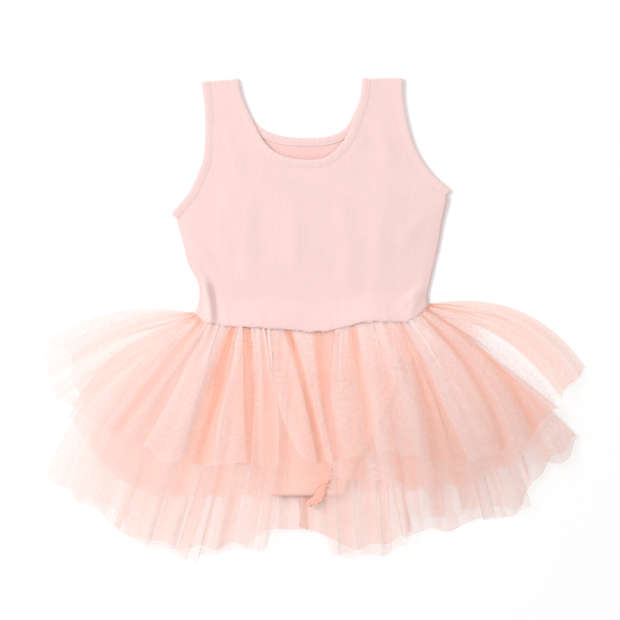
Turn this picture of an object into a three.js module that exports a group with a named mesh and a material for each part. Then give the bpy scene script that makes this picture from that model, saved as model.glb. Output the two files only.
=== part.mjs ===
// A small child's sleeveless ballet dress, lying flat on its back: a jersey bodice and brief cut as a
// leotard, and a tulle skirt of three gathered tiers, each with a front and a back width.
// Millimetres. X runs across the dress, Y from the hem to the neck, Z up from the table it lies on.
// The origin is on the table, under the middle of the outline.

import * as THREE from "three";

// Driving dimensions
const JERSEY = 1.2;               // wall of a jersey panel
const TULLE = 1.0;                // wall of a gathered tulle width
const BRIEF_WALL = 1.0;           // wall of a brief panel
const SEAM_GAP = 0.3;             // space between two pieces that are sewn together
const WAIST_GAP = 0.6;            // the same at the waist, where both edges run in short chords
const BINDING_WIDTH = 8.5;        // finished width of the neck and armhole binding
const BINDING_THICK = 2.0;        // folded jersey on both sides of the edge
const BACK_BINDING_Z = 1.0;       // middle of the binding round the back panel
const FRONT_BINDING_Z = 3.3;      // middle of the binding round the front panel
const FULL_SPACING_DEPTH = 40;    // below the waist, where the layers have opened out
const CLOSED_SPACING = 1.5;       // from front to back width where they meet at the sides
const OUTER_FOLD_HEIGHT = 8;      // of the folds on the outer tier at its hem
const INNER_FOLD_HEIGHT = 5.5;    // of the folds on the inner tier where nothing covers them
const BODICE_CROWN = 1.6;         // how far the air between the panels lifts the front
const CROWN_SPREAD = 60;          // in from the sides, over which it does so
const CROWN_TOP = { from: 120, to: 190 };     // between these heights it dies out towards the neck
const WAIST_RISE = 8.3;           // how far the skirt's gathers lift the front's lower edge
const WAIST_RISE_LENGTH = 32;     // above the waist seam, over which they do so
const WAIST_RISE_SPREAD = 16;     // in from the sides
const SIDE_SEAM_ROLL = 9;         // width over which the front turns down to the side seam
const SIDE_SEAM_TOP = { from: 96, to: 122 };  // between these heights the seam gives way to the binding
const SIDE_ROOM = { least: 8, share: 0.2 };   // over which the skirt's layers open at a side edge

const PALE_PINK = "#f5d7d4";
const BINDING_PINK = "#f6d8d5";
const TULLE_PEACH = "#fbd3c8";
const TULLE_PALE = "#fbddd4";
const BRIEF_PEACH = "#f6bfae";

const table = (columns, rows) =>
  rows.map((row) => Object.fromEntries(columns.map((name, i) => [name, row[i]])));
const clamp = (value, low, high) => Math.min(high, Math.max(low, value));
const ramp = (value, from, to) => clamp((value - from) / (to - from), 0, 1);
const smooth = (value, from, to) => {
  const t = ramp(value, from, to);
  return t * t * (3 - 2 * t);
};

// Edges of the bodice, as seen from above

const WAIST = table(["x", "y"], [
  [-121, 6], [-111, -3], [-98, -5.5], [-67, -8.5], [-33, -9.5], [-7, -12.5], [8, -12.5], [22, -10],
  [36, -7], [52, -2], [65, -1.5], [91, -3.5], [102, 3], [111, 9], [116, 15],
]);
const NECK_FRONT = table(["x", "y"], [
  [-76, 240], [-72, 223], [-63, 202], [-48.5, 176.5], [-31, 164], [-7, 160], [13, 163.5], [30.5, 181],
  [41, 205], [46, 223], [48, 240],
]);
const NECK_BACK = table(["x", "y"], [
  [-76, 240], [-72, 223], [-65, 206], [-52, 191.5], [-30, 183.5], [-7, 182], [14, 183.5], [30, 191],
  [39.5, 206], [46, 223], [48, 240],
]);
const ARMHOLE_LEFT = table(["x", "y"], [
  [-113, 236], [-110, 214], [-109.5, 183], [-111, 163], [-117, 145], [-126, 127], [-142, 107.5],
]);
const ARMHOLE_RIGHT = table(["x", "y"], [
  [89, 240], [89, 223], [92, 203], [98, 180], [106, 162.5], [120, 144], [135.5, 131],
]);
const SIDE_LEFT = table(["x", "y"], [
  [-137, 97], [-131, 76], [-126, 56], [-116.5, 38], [-115, 22], [-119.5, 6.5],
]);
const SIDE_RIGHT = table(["x", "y"], [
  [133.5, 121], [129, 99], [124.5, 74], [118, 46], [113.5, 25], [114.5, 15.5],
]);

// Creases of the bodice front: a soft ridge from one point to another
const CREASES = table(["x0", "y0", "x1", "y1", "height", "width"], [
  [-106, 40, -102, 4, 1.6, 5],
  [-124, 60, -98, 14, 0.9, 6],
  [84, 14, 104, 30, 1.0, 5],
  [-40, 120, 10, 40, 0.5, 14],
  [60, 150, 96, 70, 0.6, 12],
  [-92, 150, -70, 60, 0.5, 12],
]);

// Fold lines of the skirt's front widths, from left to right. Each runs from the waist to the hem; its
// middle swings sideways by the bow, which is positive to the left of the way from waist to hem. A rise
// of 1 is the crest of a full fold and 0 a furrow.

const FOLD_COLUMNS = ["waist", "hemX", "hemY", "bow", "rise"];
const OUTER_FRONT = table(FOLD_COLUMNS, [
  [-121, -267, -25, -17, 0], [-120, -256, -24, -14, 0.5], [-119.3, -245, -38, -11, 0.1],
  [-118.5, -248, -52, -8, 0.6], [-117.5, -233, -82, -4, 0.1], [-116, -216, -97, -2, 0.6],
  [-113, -198, -111, 0, 0.05], [-108, -183, -119, 0, 0.5], [-103, -170, -126, 0, 0],
  [-101, -165, -129, 0, 0.85], [-91, -139, -139, 0, 1], [-84, -121, -143, 0, 0.8],
  [-80, -111, -143, 0, 0.05], [-76, -88, -143.5, 3, 0.75], [-69, -66, -143, 9, 0],
  [-62, -50, -144, 4, 0.75], [-56, -37, -144.5, 3, 0.65], [-53, -31, -143, 4, 0],
  [-48, -19, -139, 5, 0], [-40, -8, -144, 5, 0.6], [-28, 5, -144, 5, 0],
  [-13, 11, -144.5, 2, 0.5], [0, 17, -144.5, 0, 0.15], [12, 22, -144, -5, 0.45],
  [21, 28, -143, -10, 0], [29, 37, -136, -6, 0.9], [40, 52, -133.5, 0, 0.35],
  [52, 70, -132, 2, 1], [63, 84, -131, 3, 0.8], [68, 96, -137, 4, 0.3],
  [73, 122, -139.5, 6, 0.75], [79, 150, -140.5, 7, 0], [90, 165, -138, 10, 0.75],
  [99, 186, -126, 14, 0.1], [105, 205, -124, 17, 0.75], [109, 224, -112, 19, 0],
  [112, 234, -95, 15, 0.6], [113.5, 239, -84, 11, 0.05], [114.5, 248, -72, 10, 0.1],
  [115.3, 259, -62, 20, 0.6], [116, 271, -49.5, 28, 0],
]);
const MIDDLE_FRONT = table(FOLD_COLUMNS, [
  [-115, -242, -98, -22, 0], [-112.5, -231, -118, -17, 0.8], [-109, -216, -138, -12, 0.1],
  [-104, -200, -154, -8, 0.9], [-98, -182, -165, -4, 0.1], [-90, -162, -173, 0, 1],
  [-82, -141, -177, 0, 0.1], [-73, -121, -177, 0, 0.9], [-64, -101, -175.5, 0, 0],
  [-54, -81, -175.5, 0, 1], [-44, -60, -175.5, 0, 0.1], [-35, -38, -175, 0, 0.9],
  [-24, -24, -168, 0, 0], [-10, -8, -164, 0, 0.6], [4, 9, -162, 0, 0],
  [15, 27, -159, 0, 0.9], [28, 48, -159, 0, 0.2], [42, 70, -159, 0, 1],
  [52, 91, -164, 2, 0], [62, 114, -166.5, 4, 0.9], [71, 138, -165.5, 6, 0.1],
  [80, 162, -161, 8, 0.9], [88, 184, -151, 10, 0], [96, 204, -137, 13, 0.9],
  [103, 222, -119, 16, 0.1], [107.5, 235, -99, 19, 0.8], [110, 242, -83, 22, 0],
]);
const INNER_FRONT = table(FOLD_COLUMNS, [
  [-109, -267, -157, -28, 0], [-107.5, -252, -167, -24, 0.5], [-106, -238, -174, -20, 0.1],
  [-104, -222, -183, -16, 0.7], [-101, -206, -188, -12, 0.1], [-98, -191, -197, -9, 0.8],
  [-94, -184, -219, -6, 0.2], [-89, -171, -226, -4, 0.9], [-85, -161, -227.5, -2, 0.2],
  [-79, -149, -229.5, 0, 1], [-73, -136, -233, 0, 0.1], [-69, -131, -240, 0, 0.6],
  [-64, -117.5, -243, 0, 0.8], [-60, -114, -234, 0, 0.2], [-54, -100, -233.5, 0, 0.8],
  [-47, -90, -229.5, 0, 0.1], [-39, -76, -228.5, 0, 0.9], [-32, -64, -230, 0, 0.3],
  [-25, -52, -230, 0, 0.9], [-19, -43, -213, 0, 0.2], [-13, -30, -166, 0, 0],
  [-4, -11, -156, 0, 0.1], [5, 7, -166, 0, 0], [10, 14, -225, 0, 0.3],
  [15, 22, -234.5, 0, 0.8], [22, 31, -236, 0, 0.3], [31, 44, -236.5, 0, 1],
  [39, 57, -236, 0, 0.4], [46, 66, -235.5, 0, 0.9], [52, 74, -233, 0, 0.1],
  [57, 79, -226, 0, 0.6], [62, 93, -222, 0, 0.7], [66, 97, -211.5, 2, 0.1],
  [71, 112, -213, 4, 0.9], [76, 126, -212.5, 6, 0.1], [81, 142, -208, 8, 0.9],
  [85, 153, -203, 9, 0.1], [89, 172, -200.5, 10, 0.9], [92, 186, -197, 11, 0.1],
  [95, 201, -193.5, 12, 0.9], [97, 216, -183, 13, 0.4], [98.5, 211, -169, 14, 0.1],
  [100, 217, -163, 15, 0.6], [101.5, 213, -154, 16, 0.1], [102.7, 227, -143, 17, 0.7],
  [103.7, 243, -142, 19, 0.8], [104.3, 260, -131, 21, 0.4], [104.5, 262, -116.5, 22, 0],
]);

// Hems of the back widths, which lie under the front ones; their folds are worked out below
const HEM_COLUMNS = ["waist", "hemX", "hemY", "bow"];
const OUTER_BACK = table(HEM_COLUMNS, [
  [-121, -269, -25, -17], [-119, -270, -50, -10], [-116, -259, -80, -5], [-110, -234, -92, -1],
  [-95, -184, -128, 0], [-70, -120, -140, 0], [-35, -45, -146, 0], [0, 10, -146, 0], [35, 62, -140, 0],
  [65, 118, -142, 3], [90, 172, -130, 8], [104, 216, -106, 13], [112, 246, -76, 17],
  [116, 273, -50, 28],
]);
const MIDDLE_BACK = table(HEM_COLUMNS, [
  [-115, -243, -99, -22], [-107, -205, -146, -10], [-90, -160, -172, -2], [-55, -85, -178, 0],
  [-15, -20, -176, 0], [25, 35, -172, 0], [60, 100, -170, 3], [85, 165, -158, 9], [103, 220, -122, 16],
  [110, 243, -84, 22],
]);
const INNER_BACK = table(HEM_COLUMNS, [
  [-109, -268, -157, -28], [-106, -246, -174, -22], [-102, -226, -187, -16], [-95, -199, -209, -9],
  [-84, -160, -224, -2], [-64, -110, -230, 0], [-40, -66, -222, 0], [-22, -36, -207.5, 0],
  [-8, -11, -208.5, 0], [8, 14, -220, 0], [30, 50, -230, 0], [55, 92, -216, 0], [75, 124, -200, 4],
  [88, 166, -192, 9], [96, 200, -180, 12], [101, 226, -152, 17], [104.5, 263, -117, 22],
]);

// Half outline of the brief, from the waist to the middle of the crotch
const BRIEF_MIDDLE_X = -7;
const BRIEF = table(["half", "y"], [
  [96, -10], [95, -30], [92, -52], [84, -82], [68, -112], [52, -140], [41, -160], [36, -176],
]);

// The layers that lie on each other in the skirt, from the table up: the space to the next layer at the
// waist seam and further down, and the depth at which the piece has ended
const LAYERS = table(["piece", "atWaist", "spacing", "ends"], [
  ["outer", 1.7, 3.4, 180], ["middle", 1.7, 3.3, 188], ["inner", 1.7, 3.2, 400],
  ["brief", 1.7, 1.8, 184], ["brief", 1.7, 2.6, 184],
  ["inner", 1.9, 3.6, 400], ["middle", 2.3, 3.9, 188], ["outer", 0, 0, 180],
]);
const ENDING = 42;                // over which the layers above sink past a hem
const LAYER = {
  outerBack: 0, middleBack: 1, innerBack: 2, briefBack: 3,
  briefFront: 4, innerFront: 5, middleFront: 6, outerFront: 7,
};

function heightAt(rows, x) {
  // y on a polyline of rows sorted by x
  const last = rows.length - 1;
  if (x <= rows[0].x) return rows[0].y;
  if (x >= rows[last].x) return rows[last].y;
  const i = rows.findIndex((row) => row.x >= x);
  return THREE.MathUtils.mapLinear(x, rows[i - 1].x, rows[i].x, rows[i - 1].y, rows[i].y);
}

const waistY = (x) => heightAt(WAIST, x);

function depthBelowWaist(x, y) {
  // distance from the waist seam, measured sideways past its ends
  const nearX = clamp(x, WAIST[0].x, WAIST[WAIST.length - 1].x);
  const drop = waistY(nearX) - y;
  return nearX === x ? Math.max(0, drop) : Math.hypot(x - nearX, drop);
}

function foldLine(row) {
  // from the waist to the hem, its middle moved sideways by the bow
  const start = new THREE.Vector2(row.waist, waistY(row.waist));
  const end = new THREE.Vector2(row.hemX, row.hemY);
  const chord = end.clone().sub(start);
  const side = new THREE.Vector2(-chord.y, chord.x).normalize();
  const control = start.clone().add(end).multiplyScalar(0.5).addScaledVector(side, 2 * row.bow);
  return new THREE.QuadraticBezierCurve(start, control, end);
}

// Which ground each piece of the skirt covers, for the heights of the layers above it

const EDGE_STEPS = 12;
const FAR = 3;                    // how many times its length a side edge is carried on past the hem

function tierGround(rows) {
  const sides = [rows[0], rows[rows.length - 1]].map((row) => {
    const points = foldLine(row).getPoints(EDGE_STEPS);
    const hem = points[EDGE_STEPS];
    const tail = hem.clone().sub(points[EDGE_STEPS - 1]).multiplyScalar(EDGE_STEPS * FAR);
    return [...points, hem.clone().add(tail)];
  });
  return [...sides[0], ...sides[1].reverse()];
}

const briefOutline = (side) =>
  BRIEF.map((row) => new THREE.Vector2(BRIEF_MIDDLE_X + side * row.half, row.y));

const BRIEF_GROUND_TOP = 120;     // the brief's ground is carried up past the waist

const GROUND = {
  outer: tierGround(OUTER_BACK),
  middle: tierGround(MIDDLE_BACK),
  inner: tierGround(INNER_BACK),
  brief: [...briefOutline(-1), ...briefOutline(1).reverse()].map((point, i, all) =>
    i === 0 || i === all.length - 1 ? new THREE.Vector2(point.x, BRIEF_GROUND_TOP) : point),
};

function distanceInside(polygon, x, y) {
  // distance to the polygon's edge, negative outside it
  let nearest = Infinity;
  let inside = false;
  polygon.forEach((a, i) => {
    const b = polygon[(i + 1) % polygon.length];
    const dx = b.x - a.x;
    const dy = b.y - a.y;
    const t = clamp(((x - a.x) * dx + (y - a.y) * dy) / (dx * dx + dy * dy), 0, 1);
    nearest = Math.min(nearest, Math.hypot(x - a.x - t * dx, y - a.y - t * dy));
    if (a.y > y !== b.y > y && x < a.x + ((y - a.y) * dx) / dy) inside = !inside;
  });
  return inside ? nearest : -nearest;
}

function spaceAbove(layer, x, y) {
  // vertical space that a layer takes: none away from it, little at its side edges, full inside
  const depth = depthBelowWaist(x, y);
  const { piece, atWaist, spacing, ends } = LAYERS[layer];
  const full = THREE.MathUtils.lerp(atWaist, spacing, ramp(depth, 0, FULL_SPACING_DEPTH));
  const inside = distanceInside(GROUND[piece], x, y);
  const room = SIDE_ROOM.least + SIDE_ROOM.share * depth;
  const lying = 1 - ramp(depth, ends, ends + ENDING);
  const closed = layer < LAYER.briefBack ? CLOSED_SPACING : full;
  if (inside < 0) return closed * (1 - smooth(-inside, 0, room)) * lying;
  return THREE.MathUtils.lerp(closed, full, smooth(inside, 0, room)) * lying;
}

function layerHeight(layer, x, y) {
  let z = TULLE / 2;
  for (let below = 0; below < layer; below += 1) z += spaceAbove(below, x, y);
  return z;
}

const SIDE_TAPER = { least: 4, share: 0.05 };  // in from a side edge, over which folds rise
const OUTER_FOLD_REACH = { from: 4, to: 115 };  // depth over which the outer tier's folds open
const INNER_FOLD_REACH = { from: 190, to: 218 };  // depth at which the inner tier comes out free
const COVERED_SHARE = 0.75;       // of the free space under the next layer that folds fill
const LEAST_SPACE = CLOSED_SPACING + 0.1;

function foldHeight(layer, x, y) {
  // how far a crest stands above a furrow: what fits under the next layer, more where nothing covers it
  const depth = depthBelowWaist(x, y);
  const inside = distanceInside(GROUND[LAYERS[layer].piece], x, y);
  const taper = smooth(inside, 0, SIDE_TAPER.least + SIDE_TAPER.share * depth);
  const opened = ({ from, to }) => smooth(depth, from, to);
  if (layer === LAYER.outerFront) return OUTER_FOLD_HEIGHT * opened(OUTER_FOLD_REACH) * taper;
  const covered = COVERED_SHARE * Math.max(0, spaceAbove(layer, x, y) - LEAST_SPACE);
  if (layer !== LAYER.innerFront) return covered * taper;
  return THREE.MathUtils.lerp(covered, INNER_FOLD_HEIGHT, opened(INNER_FOLD_REACH)) * taper;
}

// Solids

function sheetSolid(points, quads, thickness) {
  // a closed wall on a net of points: each moved half the thickness both ways along its normal
  const normals = points.map(() => new THREE.Vector3());
  quads.forEach((quad) => {
    const across = points[quad[2]].clone().sub(points[quad[0]]);
    const down = points[quad[3]].clone().sub(points[quad[1]]);
    const normal = across.cross(down).normalize();
    quad.forEach((corner) => normals[corner].add(normal));
  });
  const position = [];
  [thickness / 2, -thickness / 2].forEach((offset) => {
    points.forEach((point, i) => {
      position.push(...point.clone().addScaledVector(normals[i].normalize(), offset).toArray());
    });
  });
  const under = points.length;
  const index = [];
  const edges = new Map();
  quads.forEach(([a, b, c, d]) => {
    index.push(a, b, c, a, c, d);
    index.push(under + a, under + c, under + b, under + a, under + d, under + c);
    [[a, b], [b, c], [c, d], [d, a]].forEach(([from, to]) => {
      if (!edges.delete(`${to}_${from}`)) edges.set(`${from}_${to}`, [from, to]);
    });
  });
  edges.forEach(([from, to]) => {
    index.push(from, under + from, under + to, from, under + to, to);
  });
  return closedGeometry(position, index);
}

function closedGeometry(position, index) {
  const geometry = new THREE.BufferGeometry();
  geometry.setAttribute("position", new THREE.Float32BufferAttribute(position, 3));
  geometry.setIndex(index);
  geometry.computeVertexNormals();
  return geometry;
}

function netQuads(rows, columns, at = (row, column) => row * columns + column) {
  // quads of a net whose rows run down the piece and whose columns run left to right
  const quads = [];
  for (let row = 0; row < rows - 1; row += 1) {
    for (let column = 0; column < columns - 1; column += 1) {
      quads.push([at(row, column), at(row + 1, column), at(row + 1, column + 1), at(row, column + 1)]);
    }
  }
  return quads;
}

// Skirt tiers

const NEAR_WAIST = [0, 18, FULL_SPACING_DEPTH];

const CLOSE_HEMS = 14;            // fold lines that lie nearer than this at the hem and the waist have
const CLOSE_WAISTS = 3.5;         // no line between them

function tierLines(rows) {
  // the fold lines and one between each two that lie wide apart, with the rise of each
  return rows.flatMap((row, i) => {
    const next = rows[i + 1];
    if (!next) return [row];
    const hemStep = Math.hypot(next.hemX - row.hemX, next.hemY - row.hemY);
    if (hemStep < CLOSE_HEMS && next.waist - row.waist < CLOSE_WAISTS) return [row];
    const middle = (key) => (row[key] + next[key]) / 2;
    return [row, Object.fromEntries(FOLD_COLUMNS.map((key) => [key, middle(key)]))];
  });
}

const UNEVEN = { shift: 0.3, shiftTurn: 2.4, rise: 0.75, riseSwing: 0.25, riseTurn: 1.7 };

function backFolds(rows, folds) {
  // fold lines of a back width: crests and furrows in turn, of uneven width, along its short table
  const lines = [];
  const steps = 2 * folds;
  for (let step = 0; step <= steps; step += 1) {
    const place = (step + UNEVEN.shift * Math.sin(UNEVEN.shiftTurn * step)) / steps;
    const along = place * (rows.length - 1);
    const i = Math.min(rows.length - 2, Math.max(0, Math.floor(along)));
    const share = clamp(along - i, 0, 1);
    const line = {};
    HEM_COLUMNS.forEach((key) => {
      line[key] = THREE.MathUtils.lerp(rows[i][key], rows[i + 1][key], share);
    });
    line.rise = step % 2 ? UNEVEN.rise + UNEVEN.riseSwing * Math.sin(UNEVEN.riseTurn * step) : 0;
    lines.push(line);
  }
  lines[0] = { ...rows[0], rise: 0 };
  lines[steps] = { ...rows[rows.length - 1], rise: 0 };
  return lines;
}

function tierWidth(lines, layer, stepsToHem) {
  const rowCount = NEAR_WAIST.length + stepsToHem;
  const points = [];
  for (let row = 0; row < rowCount; row += 1) {
    lines.forEach((line) => {
      const curve = foldLine(line);
      const length = curve.getLength();
      const nearWaist = NEAR_WAIST[NEAR_WAIST.length - 1];
      const share = (row - NEAR_WAIST.length + 1) / stepsToHem;
      const further = THREE.MathUtils.lerp(nearWaist, length, share);
      const along = row < NEAR_WAIST.length ? NEAR_WAIST[row] : further;
      const { x, y } = curve.getPointAt(Math.min(1, along / length));
      const z = layerHeight(layer, x, y) + line.rise * foldHeight(layer, x, y);
      points.push(new THREE.Vector3(x, y, z));
    });
  }
  return sheetSolid(points, netQuads(rowCount, lines.length), TULLE);
}

// Brief: a panel from the waist to the crotch, cut away round the legs

const BRIEF_COLUMNS = 11;

function briefPanel(layer) {
  const columns = BRIEF_COLUMNS;
  const points = [];
  BRIEF.forEach((row, i) => {
    for (let column = 0; column < columns; column += 1) {
      const across = (2 * column) / (columns - 1) - 1;
      const x = BRIEF_MIDDLE_X + across * row.half;
      const y = i === 0 ? waistY(x) - SEAM_GAP : row.y;
      points.push(new THREE.Vector3(x, y, layerHeight(layer, x, y)));
    }
  });
  return sheetSolid(points, netQuads(BRIEF.length, columns), BRIEF_WALL);
}

// Bodice

function curveOf(rows, inward = 0) {
  // a smooth curve through the rows, moved sideways to the left of its run
  const plain = new THREE.SplineCurve(rows.map((row) => new THREE.Vector2(row.x, row.y)));
  if (!inward) return plain;
  const steps = 4 * rows.length;
  const moved = plain.getSpacedPoints(steps).map((point, i) => {
    const tangent = plain.getTangentAt(i / steps);
    return point.add(new THREE.Vector2(-tangent.y, tangent.x).multiplyScalar(inward));
  });
  return new THREE.SplineCurve(moved);
}

const CHORD_ROOM = 0.5;           // between the straight edges of a net and the curve they follow
const PANEL_INSET = BINDING_WIDTH + SEAM_GAP + CHORD_ROOM;
const STRAP_COLUMNS = 4;
const NECK_COLUMNS = 10;
const BODY_ROWS = 10;
const STRAP_ROWS = 7;
const NECK_TURN = 0.27;           // share of the neck edge that belongs to each strap
const ARM_TURN = 0.42;            // share of the armhole edge that belongs to the strap

const CREASE_ENDS = 0.3;          // share of a crease's length over which it rises from each end

function creaseHeight(x, y) {
  // the sum of the creases, each round across and dying out at its ends
  return CREASES.reduce((sum, crease) => {
    const dx = crease.x1 - crease.x0;
    const dy = crease.y1 - crease.y0;
    const t = clamp(((x - crease.x0) * dx + (y - crease.y0) * dy) / (dx * dx + dy * dy), 0, 1);
    const away = Math.hypot(x - crease.x0 - t * dx, y - crease.y0 - t * dy) / crease.width;
    const along = smooth(t, 0, CREASE_ENDS) * smooth(1 - t, 0, CREASE_ENDS);
    return sum + crease.height * Math.exp(-away * away) * along;
  }, 0);
}

const SIDE_SEAM_Z = JERSEY * 1.5 + SEAM_GAP;  // of the front panel where it meets the back one

function bodiceFrontHeight(x, y) {
  // close to the back panel along the side seams, as high as the binding at the armholes and the neck,
  // and lifted by the gathers at the waist
  const sides = [heightAt(SIDE_BY_Y.left, y), heightAt(SIDE_BY_Y.right, y)];
  const inside = Math.min(x - sides[0], sides[1] - x);
  const below = 1 - smooth(y, SIDE_SEAM_TOP.from, SIDE_SEAM_TOP.to);
  const crown = smooth(inside, 0, CROWN_SPREAD) * (1 - smooth(y, CROWN_TOP.from, CROWN_TOP.to));
  const body = FRONT_BINDING_Z + BODICE_CROWN * crown;
  const lifted = 1 - smooth(y - waistY(x), 0, WAIST_RISE_LENGTH);
  const rise = WAIST_RISE * lifted * smooth(inside, 0, WAIST_RISE_SPREAD);
  const rolled = smooth(inside, 0, SIDE_SEAM_ROLL);
  const edge = THREE.MathUtils.lerp(body, SIDE_SEAM_Z, below * (1 - rolled));
  return edge + rise + creaseHeight(x, y) * rolled;
}

const SIDE_BY_Y = {};
[["left", SIDE_LEFT, ARMHOLE_LEFT], ["right", SIDE_RIGHT, ARMHOLE_RIGHT]].forEach(([name, side, armhole]) => {
  // the outer edge of the bodice as x against y, from the waist up
  const rows = [...side].reverse().concat([...armhole].reverse());
  SIDE_BY_Y[name] = rows.map((row) => ({ x: row.y, y: row.x }));
});

function sideEdge(side, armhole, sign) {
  // from the waist up the side seam and along the inner line of the armhole binding
  const [foot, ...seamRows] = [...side].reverse();
  const seam = curveOf([{ x: foot.x, y: waistY(foot.x) + WAIST_GAP }, ...seamRows]);
  const bound = curveOf(armhole, sign * PANEL_INSET);
  return { seam, bound };
}

function bodicePanel(neckRows, neckDepth, height) {
  const left = sideEdge(SIDE_LEFT, ARMHOLE_LEFT, 1);
  const right = sideEdge(SIDE_RIGHT, ARMHOLE_RIGHT, -1);
  const neck = curveOf(neckRows, -PANEL_INSET);
  const columns = 2 * STRAP_COLUMNS + NECK_COLUMNS + 1;
  const waistLeft = left.seam.getPoint(0).x;
  const waistRight = right.seam.getPoint(0).x;

  // the body's outer edge from the waist (t = 0) to the foot of the strap (t = 1)
  const bodyEdge = ({ seam, bound }, t) => {
    const low = seam.getLength();
    const high = bound.getLength() * (1 - ARM_TURN);
    const along = t * (low + high);
    if (along <= low) return seam.getPointAt(along / low);
    return bound.getPointAt(1 - (along - low) / bound.getLength());
  };
  const neckFoot = [neck.getPointAt(neckDepth), neck.getPointAt(1 - neckDepth)];
  const top = (column) => {
    if (column <= STRAP_COLUMNS) {
      return bodyEdge(left, 1).lerp(neckFoot[0], column / STRAP_COLUMNS);
    }
    if (column >= STRAP_COLUMNS + NECK_COLUMNS) {
      const share = (column - STRAP_COLUMNS - NECK_COLUMNS) / STRAP_COLUMNS;
      return neckFoot[1].clone().lerp(bodyEdge(right, 1), share);
    }
    return neck.getPointAt(neckDepth + ((1 - 2 * neckDepth) * (column - STRAP_COLUMNS)) / NECK_COLUMNS);
  };
  const bottom = (column) => {
    const x = THREE.MathUtils.lerp(waistLeft, waistRight, column / (columns - 1));
    return new THREE.Vector2(x, waistY(x) + WAIST_GAP);
  };

  const points = [];
  const add = (plan) => points.push(new THREE.Vector3(plan.x, plan.y, height(plan.x, plan.y))) - 1;

  // body: a net between the waist, the two outer edges and the line of the strap feet and the neck
  const corners = [bottom(0), bottom(columns - 1), top(0), top(columns - 1)];
  const body = [];
  for (let row = 0; row <= BODY_ROWS; row += 1) {
    const up = 1 - row / BODY_ROWS;
    const edgeLeft = bodyEdge(left, up);
    const edgeRight = bodyEdge(right, up);
    for (let column = 0; column < columns; column += 1) {
      const across = column / (columns - 1);
      const plan = edgeLeft.clone().lerp(edgeRight, across);
      const rise = bottom(column).lerp(top(column), up);
      const flatLow = corners[0].clone().lerp(corners[1], across);
      const flatHigh = corners[2].clone().lerp(corners[3], across);
      plan.add(rise).sub(flatLow.lerp(flatHigh, up));
      body.push(add(plan));
    }
  }
  const quads = netQuads(BODY_ROWS + 1, columns, (row, column) => body[row * columns + column]);

  // straps: from their feet to the shoulder, between armhole and neck
  [[left, 0, 0], [right, 1, STRAP_COLUMNS + NECK_COLUMNS]].forEach(([edge, isRight, first]) => {
    const net = [];
    for (let row = 0; row < STRAP_ROWS; row += 1) {
      const up = 1 - row / STRAP_ROWS;
      const arm = edge.bound.getPointAt(ARM_TURN * (1 - up));
      const neckShare = neckDepth * (1 - up);
      const inner = neck.getPointAt(isRight ? 1 - neckShare : neckShare);
      for (let column = 0; column <= STRAP_COLUMNS; column += 1) {
        const share = column / STRAP_COLUMNS;
        net.push(add(isRight ? inner.clone().lerp(arm, share) : arm.clone().lerp(inner, share)));
      }
    }
    for (let column = 0; column <= STRAP_COLUMNS; column += 1) net.push(body[first + column]);
    const strapAt = (row, column) => net[row * (STRAP_COLUMNS + 1) + column];
    quads.push(...netQuads(STRAP_ROWS + 1, STRAP_COLUMNS + 1, strapAt));
  });
  return sheetSolid(points, quads, JERSEY);
}

// Bindings: a flat strip along the front edge, folded at each end on to the back edge, and closed

const FOLD_STEPS = 4;

function bindingStrip(frontRows, backRows, steps, inwardSign) {
  const turn = (FRONT_BINDING_Z - BACK_BINDING_Z) / 2;
  const middle = (FRONT_BINDING_Z + BACK_BINDING_Z) / 2;
  const front = curveOf(frontRows);
  const back = curveOf(backRows);
  const up = new THREE.Vector3(0, 0, 1);
  const sections = [];
  const addSection = (plan, heading, z, normal) => {
    const inward = new THREE.Vector3(-heading.y, heading.x, 0).multiplyScalar(inwardSign);
    const base = new THREE.Vector3(plan.x, plan.y, z);
    const half = normal.clone().multiplyScalar(BINDING_THICK / 2);
    const inner = base.clone().addScaledVector(inward, BINDING_WIDTH);
    const above = [base.clone().add(half), inner.clone().add(half)];
    sections.push([...above, inner.clone().sub(half), base.clone().sub(half)]);
  };
  const addFold = (curve, end) => {
    // half a turn round the end of the strip, from the front down to the back
    const plan = curve.getPointAt(end);
    const heading = curve.getTangentAt(end);
    const away = heading.clone().multiplyScalar(end ? 1 : -1);
    for (let step = 1; step < FOLD_STEPS; step += 1) {
      const angle = (Math.PI * step) / FOLD_STEPS;
      const turned = end ? angle : Math.PI - angle;
      const reach = away.clone().multiplyScalar(turn * Math.sin(turned));
      const sideways = away.clone().multiplyScalar(Math.sin(turned));
      const normal = new THREE.Vector3(sideways.x, sideways.y, Math.cos(turned));
      addSection(plan.clone().add(reach), heading, middle + turn * Math.cos(turned), normal);
    }
  };
  const bound = curveOf(frontRows, inwardSign * BINDING_WIDTH);
  for (let step = 0; step <= steps; step += 1) {
    const panel = bound.getPointAt(step / steps);
    const z = Math.max(FRONT_BINDING_Z, bodiceFrontHeight(panel.x, panel.y));
    addSection(front.getPointAt(step / steps), front.getTangentAt(step / steps), z, up);
  }
  addFold(front, 1);
  const down = up.clone().negate();
  for (let step = steps; step >= 0; step -= 1) {
    addSection(back.getPointAt(step / steps), back.getTangentAt(step / steps), BACK_BINDING_Z, down);
  }
  addFold(front, 0);

  const corners = 4;
  const position = sections.flat().flatMap((point) => point.toArray());
  const index = [];
  sections.forEach((_, i) => {
    const here = i * corners;
    const next = ((i + 1) % sections.length) * corners;
    for (let corner = 0; corner < corners; corner += 1) {
      const other = (corner + 1) % corners;
      const quad = [here + corner, next + corner, next + other, here + other];
      if (inwardSign < 0) quad.reverse();
      index.push(quad[0], quad[1], quad[2], quad[0], quad[2], quad[3]);
    }
  });
  return closedGeometry(position, index);
}

// The dress

const dress = new THREE.Group();

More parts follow.
